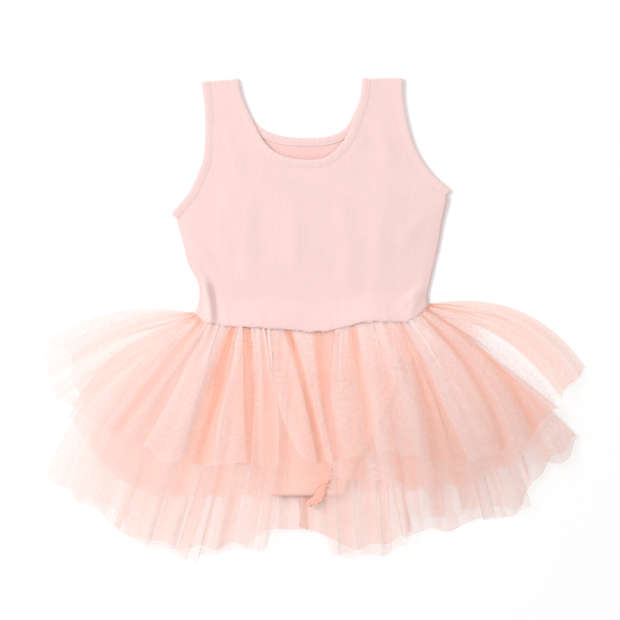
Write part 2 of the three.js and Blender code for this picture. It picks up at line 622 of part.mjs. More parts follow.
function piece(name, geometry, color, roughness) {
  const material = new THREE.MeshStandardMaterial({ color, roughness, metalness: 0 });
  const mesh = new THREE.Mesh(geometry, material);
  mesh.name = name;
  dress.add(mesh);
}

const JERSEY_ROUGHNESS = 0.85;
const TULLE_ROUGHNESS = 0.7;
const STEPS_TO_HEM = { outer: 4, middle: 5, inner: 6 };
const BACK_FOLDS = { outer: 20, middle: 15, inner: 22 };

piece("bodice_back", bodicePanel(NECK_BACK, NECK_TURN, () => JERSEY / 2), PALE_PINK, JERSEY_ROUGHNESS);
piece("bodice_front", bodicePanel(NECK_FRONT, NECK_TURN, bodiceFrontHeight), PALE_PINK, JERSEY_ROUGHNESS);

const NECK_STEPS = 26;
const ARMHOLE_STEPS = 16;
const neckBinding = bindingStrip(NECK_FRONT, NECK_BACK, NECK_STEPS, -1);
piece("neck_binding", neckBinding, BINDING_PINK, JERSEY_ROUGHNESS);
[["left", ARMHOLE_LEFT, 1], ["right", ARMHOLE_RIGHT, -1]].forEach(([side, rows, sign]) => {
  const binding = bindingStrip(rows, rows, ARMHOLE_STEPS, sign);
  piece(`armhole_binding_${side}`, binding, BINDING_PINK, JERSEY_ROUGHNESS);
});

[
  ["outer", OUTER_FRONT, OUTER_BACK, TULLE_PEACH],
  ["middle", MIDDLE_FRONT, MIDDLE_BACK, TULLE_PEACH],
  ["inner", INNER_FRONT, INNER_BACK, TULLE_PALE],
].forEach(([name, frontRows, backRows, color]) => {
  const front = tierWidth(tierLines(frontRows), LAYER[`${name}Front`], STEPS_TO_HEM[name]);
  const back = tierWidth(backFolds(backRows, BACK_FOLDS[name]), LAYER[`${name}Back`], STEPS_TO_HEM[name]);
  piece(`skirt_${name}_front`, front, color, TULLE_ROUGHNESS);
  piece(`skirt_${name}_back`, back, color, TULLE_ROUGHNESS);
});

piece("brief_front", briefPanel(LAYER.briefFront), BRIEF_PEACH, JERSEY_ROUGHNESS);
piece("brief_back", briefPanel(LAYER.briefBack), BRIEF_PEACH, JERSEY_ROUGHNESS);

export default dress;
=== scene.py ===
import bmesh
import bpy
import numpy as np
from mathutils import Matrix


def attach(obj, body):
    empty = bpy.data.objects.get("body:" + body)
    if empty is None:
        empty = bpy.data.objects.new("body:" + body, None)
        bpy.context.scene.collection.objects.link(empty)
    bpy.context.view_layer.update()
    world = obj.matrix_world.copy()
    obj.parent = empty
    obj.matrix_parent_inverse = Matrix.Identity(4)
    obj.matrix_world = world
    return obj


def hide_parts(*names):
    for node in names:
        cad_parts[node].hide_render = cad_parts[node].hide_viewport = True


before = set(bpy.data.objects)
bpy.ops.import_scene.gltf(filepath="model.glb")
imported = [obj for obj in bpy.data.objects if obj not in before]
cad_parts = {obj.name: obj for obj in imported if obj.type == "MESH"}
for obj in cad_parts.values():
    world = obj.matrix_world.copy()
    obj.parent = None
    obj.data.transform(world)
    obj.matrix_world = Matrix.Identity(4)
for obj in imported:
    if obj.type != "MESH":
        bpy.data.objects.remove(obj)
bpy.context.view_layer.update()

# Camera: straight above the dress with the neck at the top, far enough away for hardly any
# perspective. One pixel of the 620 pixel frame is one millimetre on the table.
FRAME_ACROSS = 0.620
FRAME_MIDDLE = (-0.00425, 0.0095)
CAMERA_HEIGHT = 2.6
DRESS_LEVEL = 0.008
SENSOR = 36.0
NEAR_CLIP, FAR_CLIP = 0.1, 20
SHEETS_SEEN_THROUGH = 64

camera = bpy.data.objects.new("camera", bpy.data.cameras.new("camera"))
bpy.context.scene.collection.objects.link(camera)
camera.data.sensor_width = SENSOR
camera.data.lens = SENSOR * CAMERA_HEIGHT / FRAME_ACROSS
camera.data.clip_start, camera.data.clip_end = NEAR_CLIP, FAR_CLIP
camera.location = (*FRAME_MIDDLE, CAMERA_HEIGHT + DRESS_LEVEL)
bpy.context.scene.camera = camera
bpy.context.scene.view_settings.view_transform = "Standard"
bpy.context.scene.cycles.transparent_max_bounces = SHEETS_SEEN_THROUGH

# Studio: a white table top under a white tent, which lights the dress evenly from all round, and one
# large soft lamp at the upper left that models the folds.
TENT_WHITE, TENT_LIGHT = (1.0, 0.995, 0.99), 0.79
LAMP_LIGHT = 48.0
LAMP_PLACE = (-2.2, 1.2, 2.2)
LAMP_SIZE = 1.0
TABLE_HALF = 6
TABLE_WHITE, TABLE_ROUGHNESS = (0.98, 0.98, 0.98), 0.9
DULL_SPECULAR = 0.25

world = bpy.data.worlds.new("tent")
world.use_nodes = True
world.node_tree.nodes["Background"].inputs["Color"].default_value = (*TENT_WHITE, 1)
world.node_tree.nodes["Background"].inputs["Strength"].default_value = TENT_LIGHT
bpy.context.scene.world = world

lamp = bpy.data.objects.new("lamp", bpy.data.lights.new("lamp", "AREA"))
lamp.data.energy, lamp.data.size = LAMP_LIGHT, LAMP_SIZE
lamp.location = LAMP_PLACE
lamp.rotation_mode = "QUATERNION"
lamp.rotation_quaternion = lamp.location.to_track_quat("Z", "Y")
bpy.context.scene.collection.objects.link(lamp)


def new_material(name, color, roughness, sheen=0.0, sheen_roughness=0.5):
    """A material with one Principled BSDF, whose plain values are set on its own sockets."""
    material = bpy.data.materials.new(name)
    material.use_nodes = True
    shader = material.node_tree.nodes["Principled BSDF"]
    shader.inputs["Base Color"].default_value = (*color, 1)
    shader.inputs["Roughness"].default_value = roughness
    shader.inputs["Specular IOR Level"].default_value = DULL_SPECULAR
    shader.inputs["Sheen Weight"].default_value = sheen
    shader.inputs["Sheen Roughness"].default_value = sheen_roughness
    return material, shader


table_mesh = bpy.data.meshes.new("table_top")
table_corners = [(TABLE_HALF * i, TABLE_HALF * j, 0) for i, j in ((-1, -1), (1, -1), (1, 1), (-1, 1))]
table_mesh.from_pydata(table_corners, [], [(0, 1, 2, 3)])
table_top = bpy.data.objects.new("table_top", table_mesh)
bpy.context.scene.collection.objects.link(table_top)
table_mesh.materials.append(new_material("table_white", TABLE_WHITE, TABLE_ROUGHNESS)[0])

# Bodice back: one panel of cotton jersey with a scoop neck, cut with the straps in one piece. It lies
# flat on the table; only the part above the front neckline shows.
MM = 0.001
JERSEY_WALL = 0.9
BACK_PANEL_LEVEL = JERSEY_WALL / 2 + 0.1
JERSEY_PINK = (0.90, 0.655, 0.635)
INSIDE_PINK = (0.93, 0.62, 0.59)
BINDING_WIDTH = 8.5
CURVE_SAMPLES, ARMHOLE_POINTS, OUTLINE_POINTS = 50, 400, 900
WELD = 0.00002
PANEL_TUCK = 5.0                   # how far in from the bound edge the panel ends, inside the binding
STRAP_TURN, ARM_TURN = 0.27, 0.42  # shares of the neck and armhole edges that belong to a strap
WAIST = [
    [-121, 6], [-111, -3], [-98, -5.5], [-67, -8.5], [-33, -9.5], [-7, -12.5], [8, -12.5], [22, -10],
    [36, -7], [52, -2], [65, -1.5], [91, -3.5], [102, 3], [111, 9], [116, 15],
]
NECK_BACK = [
    [-76, 240], [-72, 223], [-65, 206], [-52, 191.5], [-30, 183.5], [-7, 182], [14, 183.5], [30, 191],
    [39.5, 206], [46, 223], [48, 240],
]
ARMHOLE_LEFT = [
    [-113, 236], [-110, 214], [-109.5, 183], [-111, 163], [-117, 145], [-126, 127], [-142, 107.5],
]
ARMHOLE_RIGHT = [[89, 240], [89, 223], [92, 203], [98, 180], [106, 162.5], [120, 144], [135.5, 131]]
SIDE_LEFT = [[-137, 97], [-131, 76], [-126, 56], [-116.5, 38], [-115, 22], [-119.5, 6.5]]
SIDE_RIGHT = [[133.5, 121], [129, 99], [124.5, 74], [118, 46], [113.5, 25], [114.5, 15.5]]


def waist_at(x):
    """Height of the waist seam in the frame, straight between its measured points."""
    return np.interp(x, *np.array(WAIST, float).T)


def smooth(value, low, high):
    """0 below low, 1 above high, and 3t^2 - 2t^3 between them."""
    t = np.clip((np.asarray(value, float) - low) / (high - low), 0, 1)
    return t * t * (3 - 2 * t)


def unit(vectors):
    """The same directions, each one long."""
    return vectors / np.linalg.norm(vectors, axis=-1)[..., None]


def distances(line):
    """How far along a line each of its points lies."""
    return np.concatenate([[0], np.cumsum(np.linalg.norm(np.diff(line, axis=0), axis=1))])


def evenly(line, count):
    """The same line with count points an equal length apart."""
    along = distances(line)
    at = np.linspace(0, along[-1], count)
    return np.stack([np.interp(at, along, line[:, k]) for k in range(line.shape[1])], 1)


def curve_through(rows, inward=0.0, count=600):
    """A smooth cubic curve through the rows, whose slope at a row is half the step between its
    neighbours, moved inward to its left, with count points an equal length apart."""
    rows = np.array(rows, float)
    last = len(rows) - 1
    t = np.linspace(0, last, CURVE_SAMPLES * last)
    i = np.minimum(t.astype(int), last - 1)
    w = (t - i)[:, None]
    before, here, after, beyond = (rows[np.clip(i + k, 0, last)] for k in (-1, 0, 1, 2))
    leave, arrive = (after - before) / 2, (beyond - here) / 2
    line = here + leave * w + (3 * (after - here) - 2 * leave - arrive) * w**2
    line = evenly(line + (2 * (here - after) + leave + arrive) * w**3, count)
    if inward:
        heading = unit(np.gradient(line, axis=0))
        line = evenly(line + inward * np.stack([-heading[:, 1], heading[:, 0]], 1), count)
    return line


def at_share(line, share):
    """Points at shares of the length of an evenly spaced line."""
    at = np.clip(np.asarray(share, float), 0, 1) * (len(line) - 1)
    return np.stack([np.interp(at, np.arange(len(line)), column) for column in line.T], -1)


def panel_plan(neck_rows, strap_steps=(44, 18), body_steps=(84, 54)):
    """The plan of a bodice panel as three nets: the body between the waist, the two sides and the line
    of strap feet and neck, and a strap between armhole and neck on each side. In the body a point is
    the mean across plus the mean up, less the mean of the four corners."""
    neck = curve_through(neck_rows, -PANEL_TUCK)
    strap_rows, strap_columns = strap_steps
    body_rows, neck_columns = body_steps
    up = np.linspace(1, 0, body_rows + 1)
    edges = []
    for side, armhole, sign in ((SIDE_LEFT, ARMHOLE_LEFT, 1), (SIDE_RIGHT, ARMHOLE_RIGHT, -1)):
        foot = side[-1][0]
        seam = curve_through([[foot, waist_at(foot)], *side[-2::-1]])
        bound = curve_through(armhole, sign * PANEL_TUCK)
        outline = np.concatenate([seam, at_share(bound, np.linspace(1, ARM_TURN, ARMHOLE_POINTS))])
        edges.append((at_share(evenly(outline, OUTLINE_POINTS), up), bound))
    feet = at_share(neck, [STRAP_TURN, 1 - STRAP_TURN])
    share = np.linspace(0, 1, strap_columns + 1)[:-1, None]
    left_top = edges[0][0][0] * (1 - share) + feet[0] * share
    right_top = feet[1] + (edges[1][0][0] - feet[1]) * (share + 1 / strap_columns)
    middle = at_share(neck, np.linspace(STRAP_TURN, 1 - STRAP_TURN, neck_columns + 1))
    top = np.concatenate([left_top, middle, right_top])
    across = np.linspace(0, 1, len(top))
    x = SIDE_LEFT[-1][0] + across * (SIDE_RIGHT[-1][0] - SIDE_LEFT[-1][0])
    bottom = np.stack([x, waist_at(x)], 1)
    a, u = across[None, :, None], up[:, None, None]
    body = edges[0][0][:, None] * (1 - a) + edges[1][0][:, None] * a + bottom * (1 - u) + top * u
    corners = (bottom[0] * (1 - a) + bottom[-1] * a) * (1 - u) + (top[0] * (1 - a) + top[-1] * a) * u
    nets = [body - corners]
    for side in (0, 1):
        along = np.linspace(0, 1, strap_rows + 1)
        arm = at_share(edges[side][1], ARM_TURN * along)
        inner = at_share(neck, STRAP_TURN * along if side == 0 else 1 - STRAP_TURN * along)
        share = np.linspace(0, 1, strap_columns + 1)[None, :, None]
        first, last = (arm, inner) if side == 0 else (inner, arm)
        nets.append(first[:, None] * (1 - share) + last[:, None] * share)
    return nets


def cloth_mesh(name, nets, material, wall=0.0, uvs=None, attributes=()):
    """One mesh of several nets of points in millimetres, rows down and columns to the right, merged
    where they meet, smooth shaded, with an optional wall either side of it."""
    corners, faces, start = [], [], 0
    for net in nets:
        rows, columns = net.shape[:2]
        at = start + np.arange(rows * columns).reshape(rows, columns)
        square = [at[:-1, :-1], at[1:, :-1], at[1:, 1:], at[:-1, 1:]]
        faces.append(np.stack([part.ravel() for part in square], 1))
        corners.append(net.reshape(-1, 3))
        start += rows * columns
    corners, faces = np.concatenate(corners) * MM, np.concatenate(faces)
    mesh = bpy.data.meshes.new(name)
    mesh.from_pydata(corners, [], faces)
    if uvs is not None:
        flat = np.concatenate([uv.reshape(-1, 2) for uv in uvs])
        layer = mesh.uv_layers.new(name="cloth")
        layer.data.foreach_set("uv", flat[faces.ravel()].astype(np.float32).ravel())
    for label, nets_of_values in attributes:
        values = np.concatenate([part.ravel() for part in nets_of_values]).astype(np.float32)
        mesh.attributes.new(label, "FLOAT", "POINT").data.foreach_set("value", values)
    shape = bmesh.new()
    shape.from_mesh(mesh)
    bmesh.ops.remove_doubles(shape, verts=shape.verts, dist=WELD)
    for face in shape.faces:
        face.smooth = True
    shape.to_mesh(mesh)
    shape.free()
    mesh.materials.append(material)
    piece = bpy.data.objects.new(name, mesh)
    bpy.context.scene.collection.objects.link(piece)
    if wall:
        solid = piece.modifiers.new("wall", "SOLIDIFY")
        solid.thickness, solid.offset = wall * MM, 0
    return piece


def node(tree, kind, **values):
    """A shader node with its properties set by name."""
    made = tree.nodes.new(kind)
    for name, value in values.items():
        setattr(made, name, value)
    return made


def feed(tree, socket, value):
    """Gives an input a number, or links another node's output to it."""
    if hasattr(value, "links"):
        tree.links.new(value, socket)
    else:
        socket.default_value = value


def math_node(tree, operation, *inputs):
    """The result of a Math node whose inputs are numbers or sockets."""
    made = node(tree, "ShaderNodeMath", operation=operation)
    for socket, value in zip(made.inputs, inputs):
        feed(tree, socket, value)
    return made.outputs[0]


def noise(tree, place, scale, detail):
    """The value of a noise texture at a place, 0.5 on average."""
    made = node(tree, "ShaderNodeTexNoise")
    tree.links.new(place, made.inputs["Vector"])
    feed(tree, made.inputs["Scale"], scale)
    made.inputs["Detail"].default_value = detail
    return made.outputs["Fac"]


def new_group(name, inputs, outputs):
    """An empty shader node group with named float or vector inputs and named outputs."""
    group = bpy.data.node_groups.new(name, "ShaderNodeTree")
    for label, kind, value in inputs:
        socket = group.interface.new_socket(label, in_out="INPUT", socket_type=kind)
        if value is not None:
            socket.default_value = value
    for label, kind in outputs:
        group.interface.new_socket(label, in_out="OUTPUT", socket_type=kind)
    return group, group.nodes.new("NodeGroupInput"), group.nodes.new("NodeGroupOutput")


WALE_WANDER, WANDER_SCALE = 0.0016, 60
LOOP_LEAN, LOOP_HEIGHT = 2.2, 0.3
SLUB_SCALE, SLUB_HEIGHT = (420, 36, 36), 1.2
# the ribs' tone is painted shade: the knit is coloured lighter where it stands higher, darker between wales
CLOUD_TONE, SLUB_TONE, RIB_PAINTED_SHADE, RIB_MIDDLE = 0.09, 0.06, 0.035, 0.6
JERSEY_SHEEN, JERSEY_SHEEN_ROUGHNESS, RELIEF_STRENGTH = 0.22, 0.45, 0.6


def jersey_group():
    """Single jersey: upright wales a fixed pitch apart, each a chain of short loops, with long slubs
    where the yarn is thicker. Height is the wale, its loops and the slubs; Tone is a colour factor about
    1 from the ribs, a painted shade that is lighter where the knit stands higher, the slubs and a slow
    cloudiness."""
    kinds = ("NodeSocketVector", "NodeSocketFloat", "NodeSocketFloat", "NodeSocketFloat")
    labels = ("Place", "Wale", "Loop", "Cloud")
    values = (None, 0.0010, 0.0013, 0.03)
    group, come, go = new_group(
        "jersey_knit", list(zip(labels, kinds, values)),
        [("Height", "NodeSocketFloat"), ("Tone", "NodeSocketFloat")],
    )
    split = group.nodes.new("ShaderNodeSeparateXYZ")
    group.links.new(come.outputs["Place"], split.inputs[0])
    waver = noise(group, come.outputs["Place"], WANDER_SCALE, 1)
    shift = math_node(group, "MULTIPLY", waver, WALE_WANDER)
    x = math_node(group, "ADD", split.outputs["X"], shift)
    turn = 2 * np.pi
    across = math_node(group, "MULTIPLY", math_node(group, "DIVIDE", x, come.outputs["Wale"]), turn)
    down = math_node(group, "DIVIDE", split.outputs["Y"], come.outputs["Loop"])
    down = math_node(group, "MULTIPLY", down, turn)
    wale = math_node(group, "ABSOLUTE", math_node(group, "SINE", math_node(group, "MULTIPLY", across, 0.5)))
    lean = math_node(group, "MULTIPLY", wale, LOOP_LEAN)
    chain = math_node(group, "SINE", math_node(group, "ADD", down, lean))
    knit = math_node(group, "ADD", wale, math_node(group, "MULTIPLY", chain, LOOP_HEIGHT))
    cloud = noise(group, come.outputs["Place"], math_node(group, "DIVIDE", 1.0, come.outputs["Cloud"]), 3)
    stretch = node(group, "ShaderNodeMapping")
    stretch.inputs["Scale"].default_value = SLUB_SCALE
    group.links.new(come.outputs["Place"], stretch.inputs["Vector"])
    slub = noise(group, stretch.outputs[0], 1, 2)
    height = math_node(group, "ADD", knit, math_node(group, "MULTIPLY", slub, SLUB_HEIGHT))
    group.links.new(height, go.inputs["Height"])
    tone = math_node(group, "MULTIPLY", math_node(group, "SUBTRACT", cloud, 0.5), CLOUD_TONE)
    fine = math_node(group, "MULTIPLY", math_node(group, "SUBTRACT", slub, 0.5), SLUB_TONE)
    # painted shade along the ribs, following the knit's height
    ribs = math_node(group, "MULTIPLY", math_node(group, "SUBTRACT", knit, RIB_MIDDLE), RIB_PAINTED_SHADE)
    tone = math_node(group, "ADD", math_node(group, "ADD", tone, fine), math_node(group, "ADD", ribs, 1.0))
    group.links.new(tone, go.inputs["Tone"])
    return group


JERSEY_KNIT = jersey_group()


def jersey_material(name, color, place="Object", bump=0.00012, roughness=0.88, wale=0.0010):
    """Cotton jersey of one colour: the knit group's tone scales the colour and its height is a bump."""
    material, shader = new_material(name, color, roughness, JERSEY_SHEEN, JERSEY_SHEEN_ROUGHNESS)
    tree = material.node_tree
    where = node(tree, "ShaderNodeTexCoord")
    knit = node(tree, "ShaderNodeGroup")
    knit.node_tree = JERSEY_KNIT
    knit.inputs["Wale"].default_value = wale
    tree.links.new(where.outputs[place], knit.inputs["Place"])
    tint = node(tree, "ShaderNodeVectorMath", operation="SCALE")
    tint.inputs[0].default_value = color
    tree.links.new(knit.outputs["Tone"], tint.inputs["Scale"])
    tree.links.new(tint.outputs[0], shader.inputs["Base Color"])
    relief = node(tree, "ShaderNodeBump")
    relief.inputs["Distance"].default_value = bump
    relief.inputs["Strength"].default_value = RELIEF_STRENGTH
    tree.links.new(knit.outputs["Height"], relief.inputs["Height"])
    tree.links.new(relief.outputs[0], shader.inputs["Normal"])
    return material


def with_height(plan, height):
    """A net of plan points with its height as the third coordinate."""
    return np.concatenate([plan, np.broadcast_to(height, plan.shape[:2])[..., None]], 2)


inside_jersey = jersey_material("jersey_inside", INSIDE_PINK)
back_nets = [with_height(plan, BACK_PANEL_LEVEL) for plan in panel_plan(NECK_BACK)]
bodice_back = cloth_mesh("bodice_back_panel", back_nets, inside_jersey, wall=JERSEY_WALL)
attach(bodice_back, "root")
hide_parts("bodice_back")

# Bodice front: the same cut with a lower neck. It lies on the back panel, close to it along the side
# seams, lifted a little by the air between them, and lifted at the waist by the skirt's gathers.
NECK_FRONT = [
    [-76, 240], [-72, 223], [-63, 202], [-48.5, 176.5], [-31, 164], [-7, 160], [13, 163.5], [30.5, 181],
    [41, 205], [46, 223], [48, 240],
]
FRONT_LEVEL, SEAM_LEVEL = 3.3, 2.1
# heights that are added, the distance in from the sides over which they rise, and where they end
CROWN, CROWN_REACH, CROWN_ENDS = 1.6, 60, (120, 190)
WAIST_LIFT, WAIST_LIFT_REACH, WAIST_LIFT_LENGTH = 8.3, 16, 32
SIDE_ROLL, UNDERARM = 9, (96, 122)
RIDGE_END = 0.3
# ridges of the front, each from one point to another: x, y, x, y, height, half width
RIDGES = [
    [-111, 46, -101, -9, 5.5, 3], [-117, 38, -108, -8, -2.4, 3], [-103, 44, -94, -10, -2.2, 3.2],
    [-126, 62, -97, 10, 1.8, 5], [84, 10, 106, 32, 2.2, 4], [96, 0, 112, 24, -1.8, 3.5],
    [-40, 120, 10, 40, 0.5, 14], [60, 150, 96, 70, 0.9, 10], [-92, 150, -70, 60, 0.7, 12],
    [-62, 142, -70, 14, 0.9, 8], [-24, 150, -16, 20, 0.7, 8], [28, 142, 36, 14, 0.9, 9],
    [68, 128, 60, 4, 0.8, 8], [-100, 118, -82, 26, 0.8, 7], [112, 112, 84, 66, 1.1, 8],
    [-122, 84, -92, 34, 0.9, 5], [-92, 206, -70, 120, 0.7, 7], [62, 206, 80, 140, 0.7, 7],
]
FINE_RIDGES = [
    [-113, 44, -108, 8, -0.7, 3], [-97, 36, -95, 2, -0.6, 3.5], [-88, 24, -90, -4, 0.35, 3],
    [92, 12, 96, 34, -0.5, 3], [104, 14, 108, 40, 0.5, 3.5], [-60, 90, -20, 22, 0.25, 9],
    [20, 110, 60, 30, 0.3, 10], [-100, 200, -92, 150, 0.3, 6], [66, 210, 76, 150, 0.3, 6],
    [-128, 100, -96, 82, 0.3, 6], [128, 112, 92, 92, 0.3, 6], [-30, 150, -36, 100, 0.2, 10],
]
PUCKERS, PUCKER_SEED, PUCKER_ENDS = 60, 4, (-116, 111)
PUCKER_HALF, PUCKER_WANDER, PUCKER_LEAN = 1.7, 1.6, 0.12
PUCKER_HEIGHTS, PUCKER_LENGTHS = (0.1, 0.8), (4, 16)
SEAM_WAVE, SEAM_WAVE_LENGTH = 0.6, 4
HEM_TURN, HEM_TURN_LENGTH = 0.5, 1.2


def ridge_height(x, y, ridges):
    """The sum of the ridges: each is round across, e^-(d/w)^2, and dies out towards its two ends."""
    total = np.zeros_like(x)
    for x0, y0, x1, y1, height, width in ridges:
        dx, dy = x1 - x0, y1 - y0
        t = np.clip(((x - x0) * dx + (y - y0) * dy) / (dx * dx + dy * dy), 0, 1)
        away = np.hypot(x - x0 - t * dx, y - y0 - t * dy) / width
        ends = smooth(t, 0, RIDGE_END) * smooth(1 - t, 0, RIDGE_END)
        total += height * np.exp(-away * away) * ends
    return total


def front_level(x, y):
    """Height of the front panel: the binding's level plus a crown, down to the back panel along the
    side seams, and up over the gathers at the waist."""
    sides = []
    for side, armhole in ((SIDE_LEFT, ARMHOLE_LEFT), (SIDE_RIGHT, ARMHOLE_RIGHT)):
        rows = np.array([*side[::-1], *armhole[::-1]], float)
        sides.append(np.interp(y, rows[:, 1], rows[:, 0]))
    inside = np.minimum(x - sides[0], sides[1] - x)
    body = FRONT_LEVEL + CROWN * smooth(inside, 0, CROWN_REACH) * (1 - smooth(y, *CROWN_ENDS))
    near_waist = 1 - smooth(y - waist_at(x), 0, WAIST_LIFT_LENGTH)
    lift = WAIST_LIFT * near_waist * smooth(inside, 0, WAIST_LIFT_REACH)
    rolled = smooth(inside, 0, SIDE_ROLL)
    edge = body + (SEAM_LEVEL - body) * (1 - smooth(y, *UNDERARM)) * (1 - rolled)
    return edge + lift + ridge_height(x, y, RIDGES) * rolled


def waist_puckers(x, y):
    """Small upright ridges just above the waist seam, uneven in place, height, lean and length: each is
    round across, e^-(d/w)^2, and dies out upwards, e^-(y/l)."""
    draw = np.random.default_rng(PUCKER_SEED)
    total = np.zeros_like(x)
    above = y - waist_at(x)
    places = np.linspace(*PUCKER_ENDS, PUCKERS) + draw.normal(0, PUCKER_WANDER, PUCKERS)
    heights, lengths = draw.uniform(*PUCKER_HEIGHTS, PUCKERS), draw.uniform(*PUCKER_LENGTHS, PUCKERS)
    for place, height, length in zip(places, heights, lengths):
        lean = place + above * draw.normal(0, PUCKER_LEAN)
        across = np.exp(-(((x - lean) / PUCKER_HALF) ** 2))
        total += height * across * np.exp(-np.clip(above, 0, None) / length)
    return total


def front_net(plan):
    """A net of the front panel: its level with ridges and puckers, its hem turned down, and its waist
    edge drawn up and down by two waves that die out upwards. Each is a sine of the place across, which
    a slower sine makes uneven."""
    x, y = plan[..., 0], plan[..., 1]
    fine = ridge_height(x, y, FINE_RIDGES) + waist_puckers(x, y)
    above = np.clip(y - waist_at(x), 0, None)
    hem_turn = -HEM_TURN * np.exp(-above / HEM_TURN_LENGTH)
    waves = np.sin(x / 5.3 + 2 * np.sin(x / 17)) + 0.7 * np.sin(x / 2.9 + 1.5 * np.sin(x / 11))
    plan = plan + np.stack([0 * x, SEAM_WAVE * waves * np.exp(-above / SEAM_WAVE_LENGTH)], -1)
    return with_height(plan, front_level(x, y) + fine + hem_turn)


def shoulder_turn(net, steps=8):
    """Rows that carry a strap over the shoulder fold: half a circle from the front down to the back."""
    top, heading = net[0], net[0] - net[1]
    heading[:, 2] = 0
    heading = unit(heading)
    half = (top[:, 2] - BACK_PANEL_LEVEL) / 2
    angle = np.linspace(np.pi, 0, steps)[:, None]
    turn = top[None] + heading[None] * (half[None] * np.sin(angle))[..., None]
    turn[..., 2] = top[None, :, 2] - half[None] * (1 - np.cos(angle))
    return np.concatenate([turn[:-1], net])


pink_jersey = jersey_material("jersey_pink", JERSEY_PINK)
front_body, *front_straps = (front_net(plan) for plan in panel_plan(NECK_FRONT))
front_nets = [front_body] + [shoulder_turn(strap) for strap in front_straps]
bodice_front = cloth_mesh("bodice_front_panel", front_nets, pink_jersey, wall=JERSEY_WALL)
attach(bodice_front, "root")
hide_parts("bodice_front")

# Bindings: strips of the same jersey, folded over the raw edge of the neck and of each armhole and
# sewn through close to their inner edge. Each runs along the front, over the shoulder, and back.
BINDING_PINK = (0.905, 0.665, 0.645)
BACK_LEVEL = 1.0
# the section of the folded strip: across from the folded edge, and up from its middle
SECTION = [
    [0.0, 0.0], [0.15, 0.5], [0.7, 0.86], [1.8, 1.0], [3.6, 1.02], [5.2, 0.96], [6.1, 0.8], [6.6, 0.62],
    [7.1, 0.78], [7.8, 0.78], [8.35, 0.55], [8.5, 0.0],
]
STITCH_LINE, STITCH_LEVEL, STITCH_AHEAD = 6.6, 0.66, 0.3
STITCH_PITCH, STITCH_LENGTH, STITCH_WIDTH = 2.9, 2.1, 0.42
BINDING_WAVES, WAVE_HEIGHTS, WAVE_RATES = 7, (0.02, 0.05), (0.5, 1.9)
ONE_TURN = 6.3
THREAD_PINK = (0.93, 0.70, 0.68)


def binding_frames(front_rows, back_rows, sign, steps=220, turn_steps=9):
    """Places, inward directions and upward directions along a binding: the front edge, half a turn
    over the shoulder, the back edge the other way round, and half a turn at the other shoulder."""
    front, back = curve_through(front_rows), curve_through(back_rows)
    inner = curve_through(front_rows, sign * BINDING_WIDTH)
    share = np.linspace(0, 1, steps)
    places, inwards, ups = [], [], []

    def inward_of(line, shares):
        """The line's directions at these shares of it, and those square to them over the cloth."""
        heading = at_share(unit(np.gradient(line, axis=0)), shares)
        return heading, sign * np.stack([-heading[..., 1], heading[..., 0], 0 * heading[..., 0]], -1)

    def add(line, shares, level, up):
        """Frames along the line, with its outer face up (1) or down (-1)."""
        plan = at_share(line, shares)
        places.append(np.concatenate([plan, np.broadcast_to(level, len(plan))[:, None]], 1))
        inwards.append(inward_of(line, shares)[1])
        ups.append(np.tile([0.0, 0.0, up], (len(plan), 1)))

    def add_turn(end):
        """Frames round the shoulder fold at one end of the front edge, on half a circle."""
        angle = np.linspace(0, np.pi, turn_steps + 2)[1:-1]
        if end == 0:
            angle = angle[::-1]
        heading, inward = inward_of(front, [float(end)])
        away = np.append(heading[0], 0) * (1 if end else -1)
        half = (FRONT_LEVEL - BACK_LEVEL) / 2
        base = np.append(at_share(front, [float(end)])[0], (FRONT_LEVEL + BACK_LEVEL) / 2)
        places.append(base + half * (np.sin(angle)[:, None] * away + np.cos(angle)[:, None] * [0, 0, 1]))
        inwards.append(np.repeat(inward, turn_steps, 0))
        ups.append(np.sin(angle)[:, None] * away + np.cos(angle)[:, None] * [0, 0, 1])

    panel = at_share(inner, share)
    add(front, share, np.maximum(FRONT_LEVEL, front_level(panel[:, 0], panel[:, 1])), 1)
    add_turn(1)
    add(back, share[::-1], BACK_LEVEL, -1)
    add_turn(0)
    return [np.concatenate(parts) for parts in (places, inwards, ups)]


def binding_piece(name, frames, sign, seed, material):
    """The strip's section carried along its frames, its thickness varied by small uneven puckers."""
    places, inwards, ups = frames
    top = np.array(SECTION)
    section = np.concatenate([top, (top * [1, -1])[-2:0:-1]])
    along = distances(places)
    draw = np.random.default_rng(seed)
    waves = sum(
        draw.uniform(*WAVE_HEIGHTS) * np.sin(along * draw.uniform(*WAVE_RATES) + draw.uniform(0, ONE_TURN))
        for _ in range(BINDING_WAVES)
    )
    thick = (1 + waves)[:, None, None] * section[None, :, 1:]
    net = places[:, None] + inwards[:, None] * section[None, :, :1] + ups[:, None] * thick
    around = distances(section)
    closed = np.concatenate([net, net[:, :1]], 1)
    closed = np.concatenate([closed, closed[:1]], 0)
    lengths = np.append(along, along[-1] + np.linalg.norm(places[-1] - places[0]))
    uv = np.stack(np.broadcast_arrays(lengths[:, None], np.append(around, around[-1])[None]), 2) * MM
    if sign > 0:
        closed, uv = closed[:, ::-1], uv[:, ::-1]
    return cloth_mesh(name, [closed], material, uvs=[uv])


